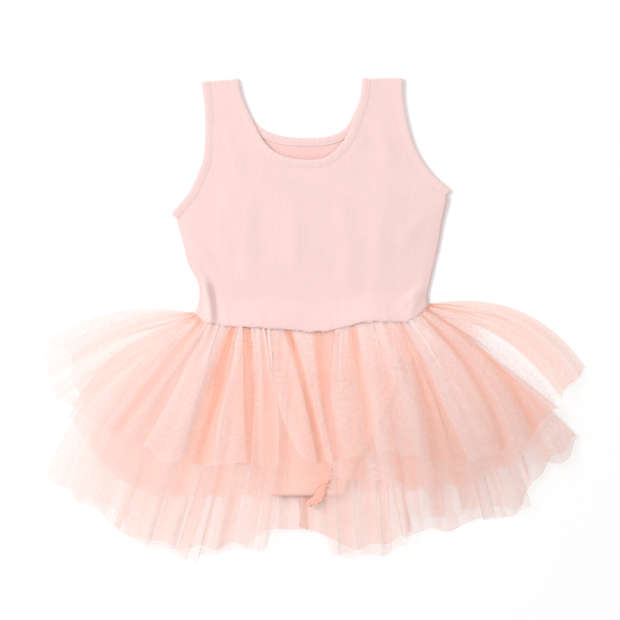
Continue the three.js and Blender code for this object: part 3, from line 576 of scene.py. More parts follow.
def stitches(name, frames, material):
    """A row of short rounded threads on both faces of a binding: each is an ellipsoid of few faces, at
    its place in the row along the binding, and turned to the row's way and to the binding's face."""
    places, inwards, ups = frames
    closed = [np.concatenate([part, part[:1]]) for part in (places, inwards, ups)]
    line = closed[0] + closed[1] * STITCH_LINE
    along = distances(line)
    at = np.arange(0, along[-1] - STITCH_PITCH, STITCH_PITCH)
    centre = np.stack([np.interp(at, along, line[:, k]) for k in range(3)], 1)
    ahead = np.stack([np.interp(at + STITCH_AHEAD, along, line[:, k]) for k in range(3)], 1) - centre
    ahead = unit(ahead)
    up = unit(np.stack([np.interp(at, along, closed[2][:, k]) for k in range(3)], 1))
    side = np.cross(up, ahead)
    ring, lift = np.meshgrid(np.linspace(0, 2 * np.pi, 7), np.linspace(-1, 1, 6), indexing="ij")
    reach = np.sqrt(np.clip(1 - lift**2, 0, None))
    a, b, c = lift * STITCH_LENGTH / 2, reach * np.cos(ring), reach * np.sin(ring)
    local = np.stack([a, b * STITCH_WIDTH / 2, c * STITCH_WIDTH / 2 + STITCH_LEVEL], -1)
    nets = (
        centre[:, None, None]
        + local[None, ..., :1] * ahead[:, None, None]
        + local[None, ..., 1:2] * side[:, None, None]
        + local[None, ..., 2:] * up[:, None, None]
    )
    return cloth_mesh(name, list(nets), material)


binding_jersey = jersey_material("jersey_binding", BINDING_PINK, place="UV", wale=0.0011)
thread = jersey_material("sewing_thread", THREAD_PINK, bump=0.00004, wale=0.0004)
# each binding: its name, its node, front edge, back edge, side that the cloth is on, seed of its waves
BINDINGS = [
    ["neck", "neck_binding", NECK_FRONT, NECK_BACK, -1, 1],
    ["armhole_left", "armhole_binding_left", ARMHOLE_LEFT, ARMHOLE_LEFT, 1, 2],
    ["armhole_right", "armhole_binding_right", ARMHOLE_RIGHT, ARMHOLE_RIGHT, -1, 3],
]
for edge, cad_node, front_rows, back_rows, sign, seed in BINDINGS:
    frames = binding_frames(front_rows, back_rows, sign)
    strip = binding_piece(f"{edge}_bound_edge", frames, sign, seed, binding_jersey)
    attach(strip, "root")
    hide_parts(cad_node)
    seam = stitches(f"{edge}_stitches", frames, thread)
    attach(seam, "root")
    around = float(np.linalg.norm(np.diff(frames[0], axis=0), axis=1).sum()) * MM

# Skirt: three rings of soft tulle, gathered into the waist seam, the innermost the longest. Each ring is
# one surface here, its front width on top and its back width on the table, meeting in a fold at each
# side. Tulle is a fine net, so a fold of it is as much darker as it has layers.
TULLE_SHADED_DEEP = (0.96, 0.42, 0.28)  # painted shade: the colour in the furrows, where light goes from fold to fold
TULLE_LIT_PALE = (0.97, 0.77, 0.74)  # painted light: the colour of an open layer that catches the light
THREAD_COVER = 0.085             # share of the light that one flat layer of the net stops
SHADOW_SHARE = 0.16              # of that cover, what stops light on its way to other folds: tulle glows
# of the layers of the stack, how many are back widths, which lie lowest, and which are front widths
BACK_WIDTHS, INNER_LAYER, MIDDLE_LAYER, OUTERMOST = 3, 5, 6, 7
# columns of a fold line: its place on the waist, its end on the hem, how far it bows, how high it rises
# from furrow 0 to crest 1, its tone from pale 0 to deep 1, painted light to painted shade, and how many
# layers of net lie along it
PLACE, HEM_X, HEM_Y, BOW, RISE, TONE, COVER = range(7)
OUTER_FRONT = [
    [-121, -267, -25, -17, 0, 0.1, 3.4], [-120.6, -252, -28, -14, 0.3, 0.2, 3],
    [-120.2, -243, -40, -12, 0.1, 0.5, 4.4], [-119.3, -240, -60, -9, 0.6, 0.2, 4.4],
    [-118.3, -233, -80, -6, 0.1, 0.7, 5], [-117, -226, -95, -4, 0.6, 0.2, 4.6],
    [-115.5, -207, -108, -2, 0.5, 0.2, 4.2], [-113.5, -194, -113, 0, 0.05, 0.7, 4],
    [-111, -186, -118, 0, 0.5, 0.15, 3.6], [-107.5, -172, -123, 0, 0.1, 0.4, 3.6],
    [-100, -150, -134, 0, 0, 0.6, 1.5], [-104.5, -170, -125, 0, 0.85, 0, 6.4],
    [-99, -152, -138, 0, 1, 0, 6.4], [-93, -136, -142.5, -1, 0.95, 0.05, 5],
    [-87.5, -127, -143, -1, 0.35, 0.55, 5.2],
    [-79.3, -115.5, -143, 0.5, 0, 1, 9.5], [-77.4, -107, -143, 0, 0.5, 0.5, 5],
    [-76.2, -97, -143.5, 0, 1, 0.05, 5], [-74.5, -80, -143.5, 0, 1, 0, 5.6],
    [-71.5, -67, -143, 0, 0.8, 0.35, 5],
    [-73, -82, -142, 0, 0.25, 0.6, 1.5], [-67.5, -61, -143, 0, 0, 1, 9], [-59, -56, -143, 0, 0, 0.8, 2.5],
    [-63.5, -63, -145, 3.5, 0.8, 0.2, 4.6], [-57.5, -56, -145, 4, 1, 0.05, 5],
    [-54, -46, -145, 3, 1, 0.6, 5.4],
    [-51.5, -40, -144.5, 4, 0.95, 0.3, 6.2], [-50, -34.5, -144.5, 4, 0.9, 0.1, 5],
    [-52, -44, -143, 4, 0.5, 0.6, 1.2], [-47.5, -14, -138, -9, 0.2, 0.9, 1],
    [-46.5, -12, -137, -8, 0.7, 0.1, 5],
    [-40, -6, -140, 1, 0.95, 0.25, 5.2], [-33, 2, -141, 4, 0.8, 0.3, 5.2], [-29, 6, -141, 4, 0.15, 0.9, 8],
    [-24, 9, -141, 3, 0, 1, 7.2], [-17, 14, -143, 2, 0.7, 0, 4.8], [-6, 18, -143, -1, 0.6, 0, 6],
    [4, 22, -142, -3, 0.05, 0.9, 6], [30, 40, -135, -6, 0, 0.5, 1], [21, 29, -137.5, -8, 0.8, 0.25, 5],
    [25, 36, -135, -6, 1, 0, 5.4], [32, 47, -133, -3, 0.9, 0.1, 4.8], [37, 56, -132.5, 1, 0.25, 0.9, 5.6],
    [45, 66, -132, 3, 1, 0.15, 4.8], [58, 78, -131, 4, 1, 0.2, 4.8], [67, 88, -133, 5, 0.9, 0, 5.5],
    [76, 104, -137, 8, 0.7, 0, 5], [83, 124, -139, 7, 0.05, 0.85, 4.4], [85, 134, -139.5, 5, 0.35, 0.45, 3.4],
    [87.5, 147, -140, 1, 0, 0.8, 3.6],
    [91, 158, -140, 2, 0.8, 0, 4.7], [98, 170, -136, 6, 1, 0, 4.7], [104, 183, -131, 10, 0.8, 0.25, 3.2],
    [106.5, 190, -126, 12, 0.1, 0.85, 4.8], [109, 200, -124, 14, 0.8, 0.4, 4.2],
    [110.5, 211, -122, 16, 0.5, 0.55, 5.2], [112, 220, -113, 15, 0, 0.95, 8],
    [112.6, 231, -99, 8, 0.3, 0.75, 7], [113.2, 238, -88, 1, 0.6, 0.6, 6.5],
    [113.4, 240, -85, 2, 0.2, 0, 0.4], [114.5, 245, -79, 14, 0.1, 0, 0.4],
    [114.6, 247, -77, 15.5, 0.5, 0.75, 7], [115.2, 256, -66, 19, 0.5, 0.7, 9],
    [115.6, 264, -56, 23, 0.6, 0.4, 10.5], [116, 271, -49.5, 28, 0, 0.3, 7],
]
MIDDLE_FRONT = [
    [-115, -242, -98, -22, 0], [-112.5, -231, -118, -17, 0.8], [-109, -216, -138, -12, 0.1],
    [-104, -200, -154, -8, 0.9], [-98, -182, -165, -4, 0.1], [-90, -162, -173, 0, 1],
    [-82, -141, -177, 0, 0.1], [-73, -121, -177, 0, 0.9], [-64, -101, -175.5, 0, 0],
    [-54, -81, -175.5, 0, 1], [-44, -60, -175.5, 0, 0.1], [-36.5, -40, -175, 0, 0.9],
    [-35.5, -36.8, -174, 0, 0.6], [-26, -27, -170, 0, 0], [-22, -21, -171, 0, 0.4],
    [-10, -8, -171, 0, 0.6], [4, 9, -163, 0, 0],
    [15, 27, -159, 0, 0.9], [28, 48, -159, 0, 0.2], [42, 70, -159, 0, 1],
    [52, 91, -164, 2, 0], [62, 114, -166.5, 4, 0.9], [71, 138, -165.5, 6, 0.1],
    [80, 162, -161, 8, 0.9], [88, 184, -151, 10, 0], [96, 204, -137, 13, 0.9],
    [103, 222, -119, 14, 0.1], [107.5, 233, -102, 8, 0.8], [110, 239.5, -89, 1, 0],
]
INNER_FRONT = [
    [-109, -267, -157, -28, 0], [-107.5, -252, -167, -24, 0.5], [-106, -238, -174, -20, 0.1],
    [-104, -222, -183, -16, 0.7], [-101, -206, -188, -12, 0.1], [-98, -191, -197, -9, 0.8],
    [-94, -184, -219, -6, 0.2], [-89, -171, -226, -4, 0.9], [-85, -161, -227.5, -2, 0.2],
    [-79, -149, -229.5, 0, 1], [-73, -136, -233, 0, 0.1], [-69, -131, -240, 0, 0.6],
    [-64, -117.5, -243, 0, 0.8], [-60, -114, -234, 0, 0.2], [-54, -100, -233.5, 0, 0.8],
    [-47, -90, -229.5, 0, 0.1], [-39, -76, -228.5, 0, 0.9], [-32, -64, -230, 0, 0.3],
    [-25, -52, -230, 0, 0.9], [-19, -43, -213, 0, 0.2], [-13, -30, -166, 0, 0],
    [-4, -11, -156, 0, 0.1], [5, 7, -166, 0, 0], [10, 14, -225, 0, 0.3],
    [15, 22, -234.5, 0, 0.8], [22, 31, -236, 0, 0.3], [31, 44, -236.5, 0, 1],
    [39, 57, -236, 0, 0.4], [46, 66, -235.5, 0, 0.9], [52, 74, -233, 0, 0.1],
    [57, 79, -226, 0, 0.6], [62, 93, -222, 0, 0.7], [66, 97, -199, 2, 0.1],
    [71, 112, -197, 4, 0.9], [76, 126, -196, 6, 0.1], [81, 142, -194.5, 8, 0.9],
    [85, 153, -189, 9, 0.1], [89, 172, -184, 10, 0.9], [92, 186, -187, 11, 0.1],
    [95, 201, -189, 12, 0.9], [97, 216, -183, 13, 0.4], [98.5, 211, -169, 14, 0.1],
    [100, 217, -163, 15, 0.6], [101.5, 213, -154, 16, 0.1], [102.7, 227, -143, 17, 0.7],
    [103.7, 243, -142, 17, 0.8], [104.3, 260, -131, 12, 0.4], [104.5, 262, -116.5, 7, 0],
]
OUTER_BACK = [
    [-121, -269, -25, -17], [-119, -270, -50, -10], [-116, -259, -80, -5], [-110, -234, -92, -1],
    [-95, -184, -128, 0], [-70, -120, -140, 0], [-35, -45, -146, 0], [0, 10, -146, 0], [35, 62, -140, 0],
    [65, 118, -142, 3], [90, 172, -130, 8], [104, 216, -106, 13], [112, 246, -76, 17], [116, 273, -50, 28],
]
MIDDLE_BACK = [
    [-115, -243, -99, -22], [-107, -205, -146, -10], [-90, -160, -172, -2], [-55, -85, -178, 0],
    [-15, -20, -176, 0], [25, 35, -172, 0], [60, 100, -170, 3], [85, 165, -158, 9], [103, 220, -122, 12],
    [110, 241.5, -87, 1],
]
INNER_BACK = [
    [-109, -268, -157, -28], [-106, -246, -174, -22], [-102, -226, -187, -16], [-95, -199, -209, -9],
    [-84, -160, -224, -2], [-64, -110, -230, 0], [-40, -66, -222, 0], [-22, -36, -207.5, 0],
    [-8, -11, -208.5, 0], [8, 14, -220, 0], [30, 50, -230, 0], [55, 92, -216, 0], [66, 104, -211, 2],
    [75, 124, -212.5, 4], [82, 144, -207.5, 7], [90, 172, -200.5, 10], [97, 203, -193, 12],
    [101, 226, -152, 14], [104.5, 263, -117, 7],
]
BRIEF = [[96, -10], [95, -30], [92, -52], [84, -82], [68, -112], [52, -140], [41, -160], [36, -176]]
BRIEF_MIDDLE, BRIEF_GROUND_TOP = -7, 120
# what lies on the table, from below: the piece, its room at the waist and further down, and its length
STACK = [
    ["outer", 1.7, 3.4, 180], ["middle", 1.7, 3.3, 188], ["inner", 1.7, 3.2, 400], ["brief", 1.7, 1.8, 184],
    ["brief", 1.7, 2.6, 184], ["inner", 1.9, 3.6, 400], ["middle", 2.3, 3.9, 188], ["outer", 0, 0, 180],
]
HALF_WALL = 0.5
OPEN_DEPTH, SINK_LENGTH, CLOSED_ROOM = 40, 42, 1.5
SIDE_WIDTH, SIDE_SPREAD, BRIEF_SIDE = 8, 0.2, 3
SIDE_POINTS, PAST_HEM = 13, 36


def fold_points(rows, t):
    """Points at shares t of each fold line: a parabola from waist to hem, its middle moved sideways by
    the bow, which is positive to the left of the way down."""
    rows = np.asarray(rows, float)
    waist, hem_x, hem_y, bow = (rows[..., k] for k in (PLACE, HEM_X, HEM_Y, BOW))
    start = np.stack([waist, waist_at(waist)], -1)
    end = np.stack([hem_x, hem_y], -1)
    chord = end - start
    side = unit(np.stack([-chord[..., 1], chord[..., 0]], -1))
    control = (start + end) / 2 + 2 * bow[..., None] * side
    t = np.asarray(t, float)[..., None]
    return start * (1 - t) ** 2 + 2 * control * t * (1 - t) + end * t * t


def ground_of(rows):
    """The ground that a tier covers: between its two side lines, carried on past the hem."""
    sides = []
    for row in (rows[0], rows[-1]):
        points = fold_points(np.tile(row, (SIDE_POINTS, 1)), np.linspace(0, 1, SIDE_POINTS))
        sides.append(np.concatenate([points, [points[-1] + (points[-1] - points[-2]) * PAST_HEM]]))
    return np.concatenate([sides[0], sides[1][::-1]])


half_brief = np.array(BRIEF, float)
left_leg = np.stack([BRIEF_MIDDLE - half_brief[:, 0], half_brief[:, 1]], 1)
right_leg = np.stack([BRIEF_MIDDLE + half_brief[:, 0], half_brief[:, 1]], 1)
left_leg[0, 1] = right_leg[0, 1] = BRIEF_GROUND_TOP
GROUND = {
    "outer": ground_of(OUTER_BACK), "middle": ground_of(MIDDLE_BACK), "inner": ground_of(INNER_BACK),
    "brief": np.concatenate([left_leg, right_leg[::-1]]),
}


def inside_ground(piece, x, y):
    """Distance to the edge of a piece's ground, negative outside it."""
    corners = GROUND[piece]
    nearest, inside = np.full(x.shape, np.inf), np.zeros(x.shape, bool)
    for (ax, ay), (bx, by) in zip(corners, np.roll(corners, -1, 0)):
        dx, dy = bx - ax, by - ay
        t = np.clip(((x - ax) * dx + (y - ay) * dy) / (dx * dx + dy * dy), 0, 1)
        nearest = np.minimum(nearest, np.hypot(x - ax - t * dx, y - ay - t * dy))
        crosses = (ay > y) != (by > y)
        inside ^= crosses & (x < ax + (y - ay) * dx / (dy if dy else 1e-9))
    return np.where(inside, nearest, -nearest)


def depth_below_waist(x, y):
    """Distance down from the waist seam, measured sideways too past its ends."""
    near = np.clip(x, WAIST[0][0], WAIST[-1][0])
    drop = waist_at(near) - y
    return np.where(near == x, np.clip(drop, 0, None), np.hypot(x - near, drop))


def room_above(layer, x, y):
    """Room that a layer takes: none away from it, little at its side edges, full inside."""
    depth = depth_below_waist(x, y)
    piece, at_waist, spread, ends = STACK[layer]
    full = at_waist + (spread - at_waist) * np.clip(depth / OPEN_DEPTH, 0, 1)
    inside = inside_ground(piece, x, y)
    side = (SIDE_WIDTH + SIDE_SPREAD * depth) * (BRIEF_SIDE if piece == "brief" else 1)
    lying = 1 - np.clip((depth - ends) / SINK_LENGTH, 0, 1)
    closed = CLOSED_ROOM if layer < BACK_WIDTHS else full
    beside = closed * smooth(1 + inside / side, 0, 1)
    within = closed + (full - closed) * smooth(inside / side, 0, 1)
    return np.where(inside < 0, beside, within) * lying


def layer_level(layer, x, y):
    """Height of a layer's middle: half a wall and the room of all that lies under it."""
    return HALF_WALL + sum(room_above(below, x, y) for below in range(layer))


FREE_ROOM, FREE_FROM = 8, (4, 115)
HEM_ROOM, HEM_FREE_FROM = 5.5, (190, 218)
COVERED_SHARE, COVERED_GAP = 0.75, 0.1
TAPER_WIDTH, TAPER_SPREAD = 4, 0.05


def fold_room(layer, x, y):
    """How far a crest stands above a furrow: what fits under the next layer, more where it is free,
    and less towards the side edges."""
    depth = depth_below_waist(x, y)
    inside = inside_ground(STACK[layer][0], x, y)
    taper = smooth(inside / (TAPER_WIDTH + TAPER_SPREAD * depth), 0, 1)
    if layer == OUTERMOST:
        return FREE_ROOM * smooth(depth, *FREE_FROM) * taper
    covered = COVERED_SHARE * np.clip(room_above(layer, x, y) - CLOSED_ROOM - COVERED_GAP, 0, None)
    if layer == INNER_LAYER:
        covered = covered + (HEM_ROOM - covered) * smooth(depth, *HEM_FREE_FROM)
    return covered * taper


def slope_through(at, values, where):
    """A smooth curve through values given at uneven places, level at each highest and lowest value and
    elsewhere with the harmonic mean of the slopes on both sides, so that it never swings past them."""
    at, values = np.asarray(at, float), np.asarray(values, float)
    step = np.diff(at)
    slant = np.diff(values) / step
    same = slant[1:] * slant[:-1] > 0
    left, right = np.where(same, slant[:-1], 1), np.where(same, slant[1:], 1)
    near, far = 2 * step[1:] + step[:-1], step[1:] + 2 * step[:-1]
    harmonic = (near + far) / (near / left + far / right)
    slope = np.concatenate([slant[:1], np.where(same, harmonic, 0), slant[-1:]])
    i = np.clip(np.searchsorted(at, where, "right") - 1, 0, len(at) - 2)
    t = np.clip((where - at[i]) / step[i], 0, 1)
    rise = values[i + 1] - values[i]
    m0, m1 = slope[i] * step[i], slope[i + 1] * step[i]
    return values[i] + m0 * t + (3 * rise - 2 * m0 - m1) * t**2 + (m0 + m1 - 2 * rise) * t**3


def pleat(t):
    """+1 just before a pleat's middle and -1 just after it, and 0 away from it: -t e^((1 - t^2)/2)."""
    return -t * np.exp(np.clip((1 - t * t) / 2, -30, 1))


# pleats: how they wander, how softly they begin and end, how wide and how high they turn
PLEAT_WANDER, PLEAT_BEGINS, PLEAT_ENDS = 2.0, (-0.08, 0.1), (-0.15, 0.05)
PLEAT_TURN, PLEAT_LIFT, PLEAT_REACH = 0.98, 0.6, 1.2
# gathers: how far from the sides, half width, width laid over, share of the length where they end
GATHER_EDGE, GATHER_HALVES, GATHER_OVERS, GATHER_ENDS = 6, (1.4, 4), (-0.6, 2.0), (0.1, 0.7)
GATHER_WANDER, GATHER_FADE, GATHER_LIFT = 3, 0.4, 0.4


def lay_folds(u, v, free, rows, place, pleats, gathers, draw):
    """Where the points of a width lie across, how high they are lifted, and how far they are in a pleat.
    A pleat or a gather turns the place across back on itself, so that the net lies three layers deep
    there, the higher fold on top. Gathers do so near the waist only."""
    wide = place[-1]
    shifted = u + 0 * v
    lifted, folded = np.zeros_like(shifted), np.zeros_like(shifted)
    for waist, over, half, faces, begins, ends in pleats:
        middle = np.interp(waist, rows[:, PLACE], place)
        bend = middle + draw.normal(0, PLEAT_WANDER) * np.sin(np.pi * v)
        begun = smooth(v, *(begins + soft for soft in PLEAT_BEGINS))
        shown = begun * (1 - smooth(v, *(ends + soft for soft in PLEAT_ENDS))) * free
        turn = pleat((u - bend) / half) * shown
        shifted = shifted + (half * PLEAT_TURN + over / 2) * turn
        lifted = lifted + faces * PLEAT_LIFT * turn
        folded = np.maximum(folded, shown * np.exp(-(((u - bend) / (PLEAT_REACH * half + over / 2)) ** 2)))
    for _ in range(gathers):
        middle, half = draw.uniform(GATHER_EDGE, wide - GATHER_EDGE), draw.uniform(*GATHER_HALVES)
        over, ends = draw.uniform(*GATHER_OVERS), draw.uniform(*GATHER_ENDS)
        fade = 1 - smooth(v, ends * GATHER_FADE, ends)
        turn = pleat((u - middle - draw.normal(0, GATHER_WANDER) * v) / half) * fade * free
        shifted = shifted + (half + over) * turn
        lifted = lifted + draw.choice([-1, 1]) * GATHER_LIFT * turn
    return shifted, lifted, folded


# how much denser the net is where it is gathered and how far down, how much paler its tone is painted
# there as painted light, and how much thinner at the hem
AT_WAIST, WAIST_REACH, WAIST_PAINTED_LIGHT = 0.6, 18, 0.4
HEM_FADE, HEM_FADES = 0.3, (0.55, 1)
INNER_HEM_FADE, INNER_HEM_FADES = 0.45, (0.78, 0.98)
# in a pleat three layers lie on each other, each made thinner; a streak of net is denser and deeper
PLEAT_THINS, STREAK_DENSER, STREAK_DEEPER = 0.6, 0.16, 0.22
# the folds at the gap on the right: where they start, how far they stay whole, and what they gain there
GAP_COVER, GAP_SOFT, GAP_ACROSS = 1.5, 0.8, (100, 118)
PARTS_AT, PARTS_OVER, WHOLE_CROWD, WHOLE_TONE = 42, 30, 6, 0.7
# the ends of the waist seam, where the tone is painted deeper as shade in the gathers
SIDE_CORNERS, SIDE_REACH, SIDE_PAINTED_SHADE = (108, 114), 9, 0.8
# painted shade: how much darker the colour of the folds is painted at the lower right, which is turned
# from the lamp
PAINTED_SHADE, PAINTED_SHADE_ACROSS, PAINTED_SHADE_DOWN = 0.13, (40, 170), (20, 170)


def tulle_looks(layer, line, x, y, v, down, folded, streak):
    """What the material reads at each point: crowd is how many layers of net lie there, tone is 0 where
    they are pale, a painted light, and 1 where they are deep, a painted shade, and light is a factor of
    their colour that paints shade at the lower right."""
    crowd = line[..., COVER] * (1 - PLEAT_THINS * folded) * (1 + STREAK_DENSER * streak)
    gathered = np.exp(-down / WAIST_REACH)
    crowd = crowd * (1 + AT_WAIST * gathered)
    # painted light: the tone is painted paler near the waist seam
    tone = line[..., TONE] - WAIST_PAINTED_LIGHT * gathered * (1 - line[..., TONE])
    whole = smooth(GAP_COVER - line[..., COVER], 0, GAP_SOFT) * smooth(x, *GAP_ACROSS)
    whole = whole * (1 - smooth(down, PARTS_AT, PARTS_AT + PARTS_OVER))
    crowd, tone = crowd + WHOLE_CROWD * whole, tone + WHOLE_TONE * whole
    if layer == OUTERMOST:
        crowd = crowd * (1 - HEM_FADE * smooth(v, *HEM_FADES))
    if layer == INNER_LAYER:
        crowd = crowd * (1 - INNER_HEM_FADE * smooth(v, *INNER_HEM_FADES))
    # painted shade: a deeper tone at the ends of the waist seam
    corner = smooth(np.abs(line[..., PLACE]), *SIDE_CORNERS) * np.exp(-down / SIDE_REACH)
    tone = np.clip(tone + STREAK_DEEPER * streak + SIDE_PAINTED_SHADE * corner, 0, 1)
    # painted shade: the colour factor light falls towards the lower right
    light = 1 - PAINTED_SHADE * smooth(x, *PAINTED_SHADE_ACROSS) * smooth(-y, *PAINTED_SHADE_DOWN)
    return crowd, tone, light


NARROWEST, FREE_EDGE, ROW_EASE = 4, 12, 1.15
STREAK_PITCH, STREAK_ENDS, STREAK_RISE = 3.2, 0.55, 0.22
HEM_WAVE, SWAY, RIPPLE, RIPPLE_ENDS = 0.012, 1.1, 0.3, (0.05, 0.5)
CREST_CLEARS, LOWEST = 0.6, 0.3
TUCK, TUCK_DROP, TUCK_LENGTH = 1.3, 1.0, 3  # how far the seam takes a front width in and down, and how soon


def tier_face(rows, layer, columns, steps, seed, pleats, gathers):
    """One width of a tier, through fold lines in order: where the next line lies back to the left, the
    net turns over and runs on under or over the last fold. A point's place across is u, in millimetres
    along the hem, and down is v. The hem's length wavers and the net sways sideways, each by a sine of
    u that a slower sine makes uneven. Its height is its layer's level and its share of the room for
    folds, with a ripple at the waist and fine streaks. The front widths are tucked in under the bodice."""
    draw = np.random.default_rng(seed)
    rows = np.array(rows, float)
    hem = np.linalg.norm(np.diff(rows[:, HEM_X:BOW], axis=0), axis=1)
    place = np.concatenate([[0], np.cumsum(np.maximum(hem, NARROWEST))])
    wide = place[-1]
    u = np.linspace(0, wide, columns)[None]
    v = (np.linspace(0, 1, steps + 1) ** ROW_EASE)[:, None]
    free = smooth(np.minimum(u, wide - u), 0, FREE_EDGE)
    shifted, lifted, folded = lay_folds(u, v, free, rows, place, pleats, gathers, draw)
    at = np.clip(shifted, 0, wide)
    line = np.stack([slope_through(place, rows[:, k], at) for k in range(COVER + 1)], -1)
    knots = np.linspace(0, wide, int(wide / STREAK_PITCH))
    first, last = (np.interp(u[0], knots, draw.normal(0, 1, len(knots))) for _ in range(2))
    streak = (first * (1 - v) + last * v) * (1 - STREAK_ENDS * v) * free
    length = 1 + HEM_WAVE * np.sin(u / 7.0 + 2 * np.sin(u / 31)) * v**2
    plan = fold_points(line, v * length)
    plan[..., 0] += SWAY * np.sin(np.pi * v) * np.sin(v * (5 + 2.5 * np.sin(u / 19)) + u / 11) * free
    down = v * np.linalg.norm(plan[-1] - plan[0], axis=-1)[None]
    tuck = np.exp(-down / TUCK_LENGTH) if layer >= INNER_LAYER else 0 * down
    plan[..., 1] += TUCK * tuck
    x, y = plan[..., 0], plan[..., 1]
    level = layer_level(layer, x, y) + line[..., RISE] * (fold_room(layer, x, y) + CREST_CLEARS)
    ripple = RIPPLE * np.sin(u / 2.3 + 3 * v) * (1 - smooth(v, *RIPPLE_ENDS)) * free
    level = level + lifted + ripple + STREAK_RISE * streak - TUCK_DROP * tuck
    net = with_height(plan, np.maximum(level, LOWEST))
    along = np.concatenate([[0], np.cumsum(np.abs(np.diff(shifted[-1])))])
    uv = np.stack(np.broadcast_arrays(along[None], down), -1) * MM
    return net, uv, *tulle_looks(layer, line, x, y, v, down, folded, streak)


# tone and cover in a furrow, and how much less on a crest: the tone paints shade in the furrow and light
# on the crest
FURROW_PAINTED_SHADE, CREST_PAINTED_LIGHT, FURROW_COVER, CREST_THINNER = 0.9, 0.55, 1.1, 0.2
# from where to where the folds crowd to the right
RIGHT_FROM = (-20, 60)
# the hem's two ends, where the net is paler, and the fold lines at the side edges, where it is thinner
SIDE_HEM, SIDE_SOFT, SIDE_TONE, SIDE_COVER, SIDE_LINES = 250, 60, 0.4, 0.5, (-0.5, 3)
# the gap at the upper right, where the net is thinner
GAP_THINNER, GAP_FROM, GAP_Y, GAP_HALF = 0.75, (215, 232), -76, 17
# the place left of the middle where the brief looks out, and the corner at the right where nets double
BARE, BARE_X, BARE_HALF = 0.9, -30, 7.5
CORNER, CORNER_ACROSS, CORNER_DOWN = 2.4, (222, 250), (95, 115)


def with_tone(rows, deep, cover, right=1.0, bare=0.0):
    """Fold lines with their tone and cover: deep in a furrow and paler on a crest, a painted shade and a
    painted light, pale and thin along the side edges, thin in the gap at the upper right, dense in the right
    corner, right times as dense on the right, where the folds lie closer, and by the share bare thinner where
    the brief looks out."""
    rows = np.array(rows, float)
    x, y, rise = rows[:, HEM_X], rows[:, HEM_Y], rows[:, RISE]
    inward = smooth(SIDE_HEM - np.abs(x), 0, SIDE_SOFT)
    tone = deep * (FURROW_PAINTED_SHADE - CREST_PAINTED_LIGHT * rise) * (SIDE_TONE + (1 - SIDE_TONE) * inward)
    dense = cover * (FURROW_COVER - CREST_THINNER * rise) * (1 + (right - 1) * smooth(x, *RIGHT_FROM))
    edge = np.minimum(np.arange(len(rows)), np.arange(len(rows))[::-1])
    parted = 1 - GAP_THINNER * smooth(x, *GAP_FROM) * np.exp(-(((y - GAP_Y) / GAP_HALF) ** 2))
    dense = dense * (SIDE_COVER + (1 - SIDE_COVER) * smooth(edge, *SIDE_LINES)) * parted
    dense = dense * (1 - bare * (np.abs(x - BARE_X) < BARE_HALF))
    dense = dense * (1 + CORNER * smooth(x, *CORNER_ACROSS) * smooth(-y, *CORNER_DOWN))
    return np.concatenate([rows, np.stack([tone, dense], 1)], 1)


def back_rows(rows, folds):
    """Fold lines of a back width: crests and furrows in turn, of uneven width and height by two slow
    waves, between its hem points."""
    rows = np.array(rows, float)
    step = np.arange(2 * folds + 1)
    along = (step + 0.3 * np.sin(2.4 * step)) / (2 * folds) * (len(rows) - 1)
    along[0], along[-1] = 0, len(rows) - 1
    lines = [np.interp(along, np.arange(len(rows)), rows[:, k]) for k in range(RISE)]
    rise = np.where(step % 2 == 1, 0.75 + 0.25 * np.sin(1.7 * step), 0)
    return np.stack([*lines, rise], 1)


def side_turn(first, last, steps=4):
    """Columns that join the front width's edge to the back width's in half a turn, outwards by half
    their difference in height."""
    angle = np.linspace(0, np.pi, steps + 2)[1:-1]
    middle, half = (first + last) / 2, (first - last) / 2
    out = np.sign(middle[:, :1]) * np.array([1.0, 0, 0]) * np.abs(half[:, 2:3])
    return np.stack([middle + half * np.cos(a) + out * np.sin(a) for a in angle], 1)


TULLE_ROUGHNESS, TULLE_SHEEN, TULLE_SHEEN_ROUGHNESS = 0.6, 0.15, 0.35
MOST_COVER, LEAST_FACING = 0.9, 0.3


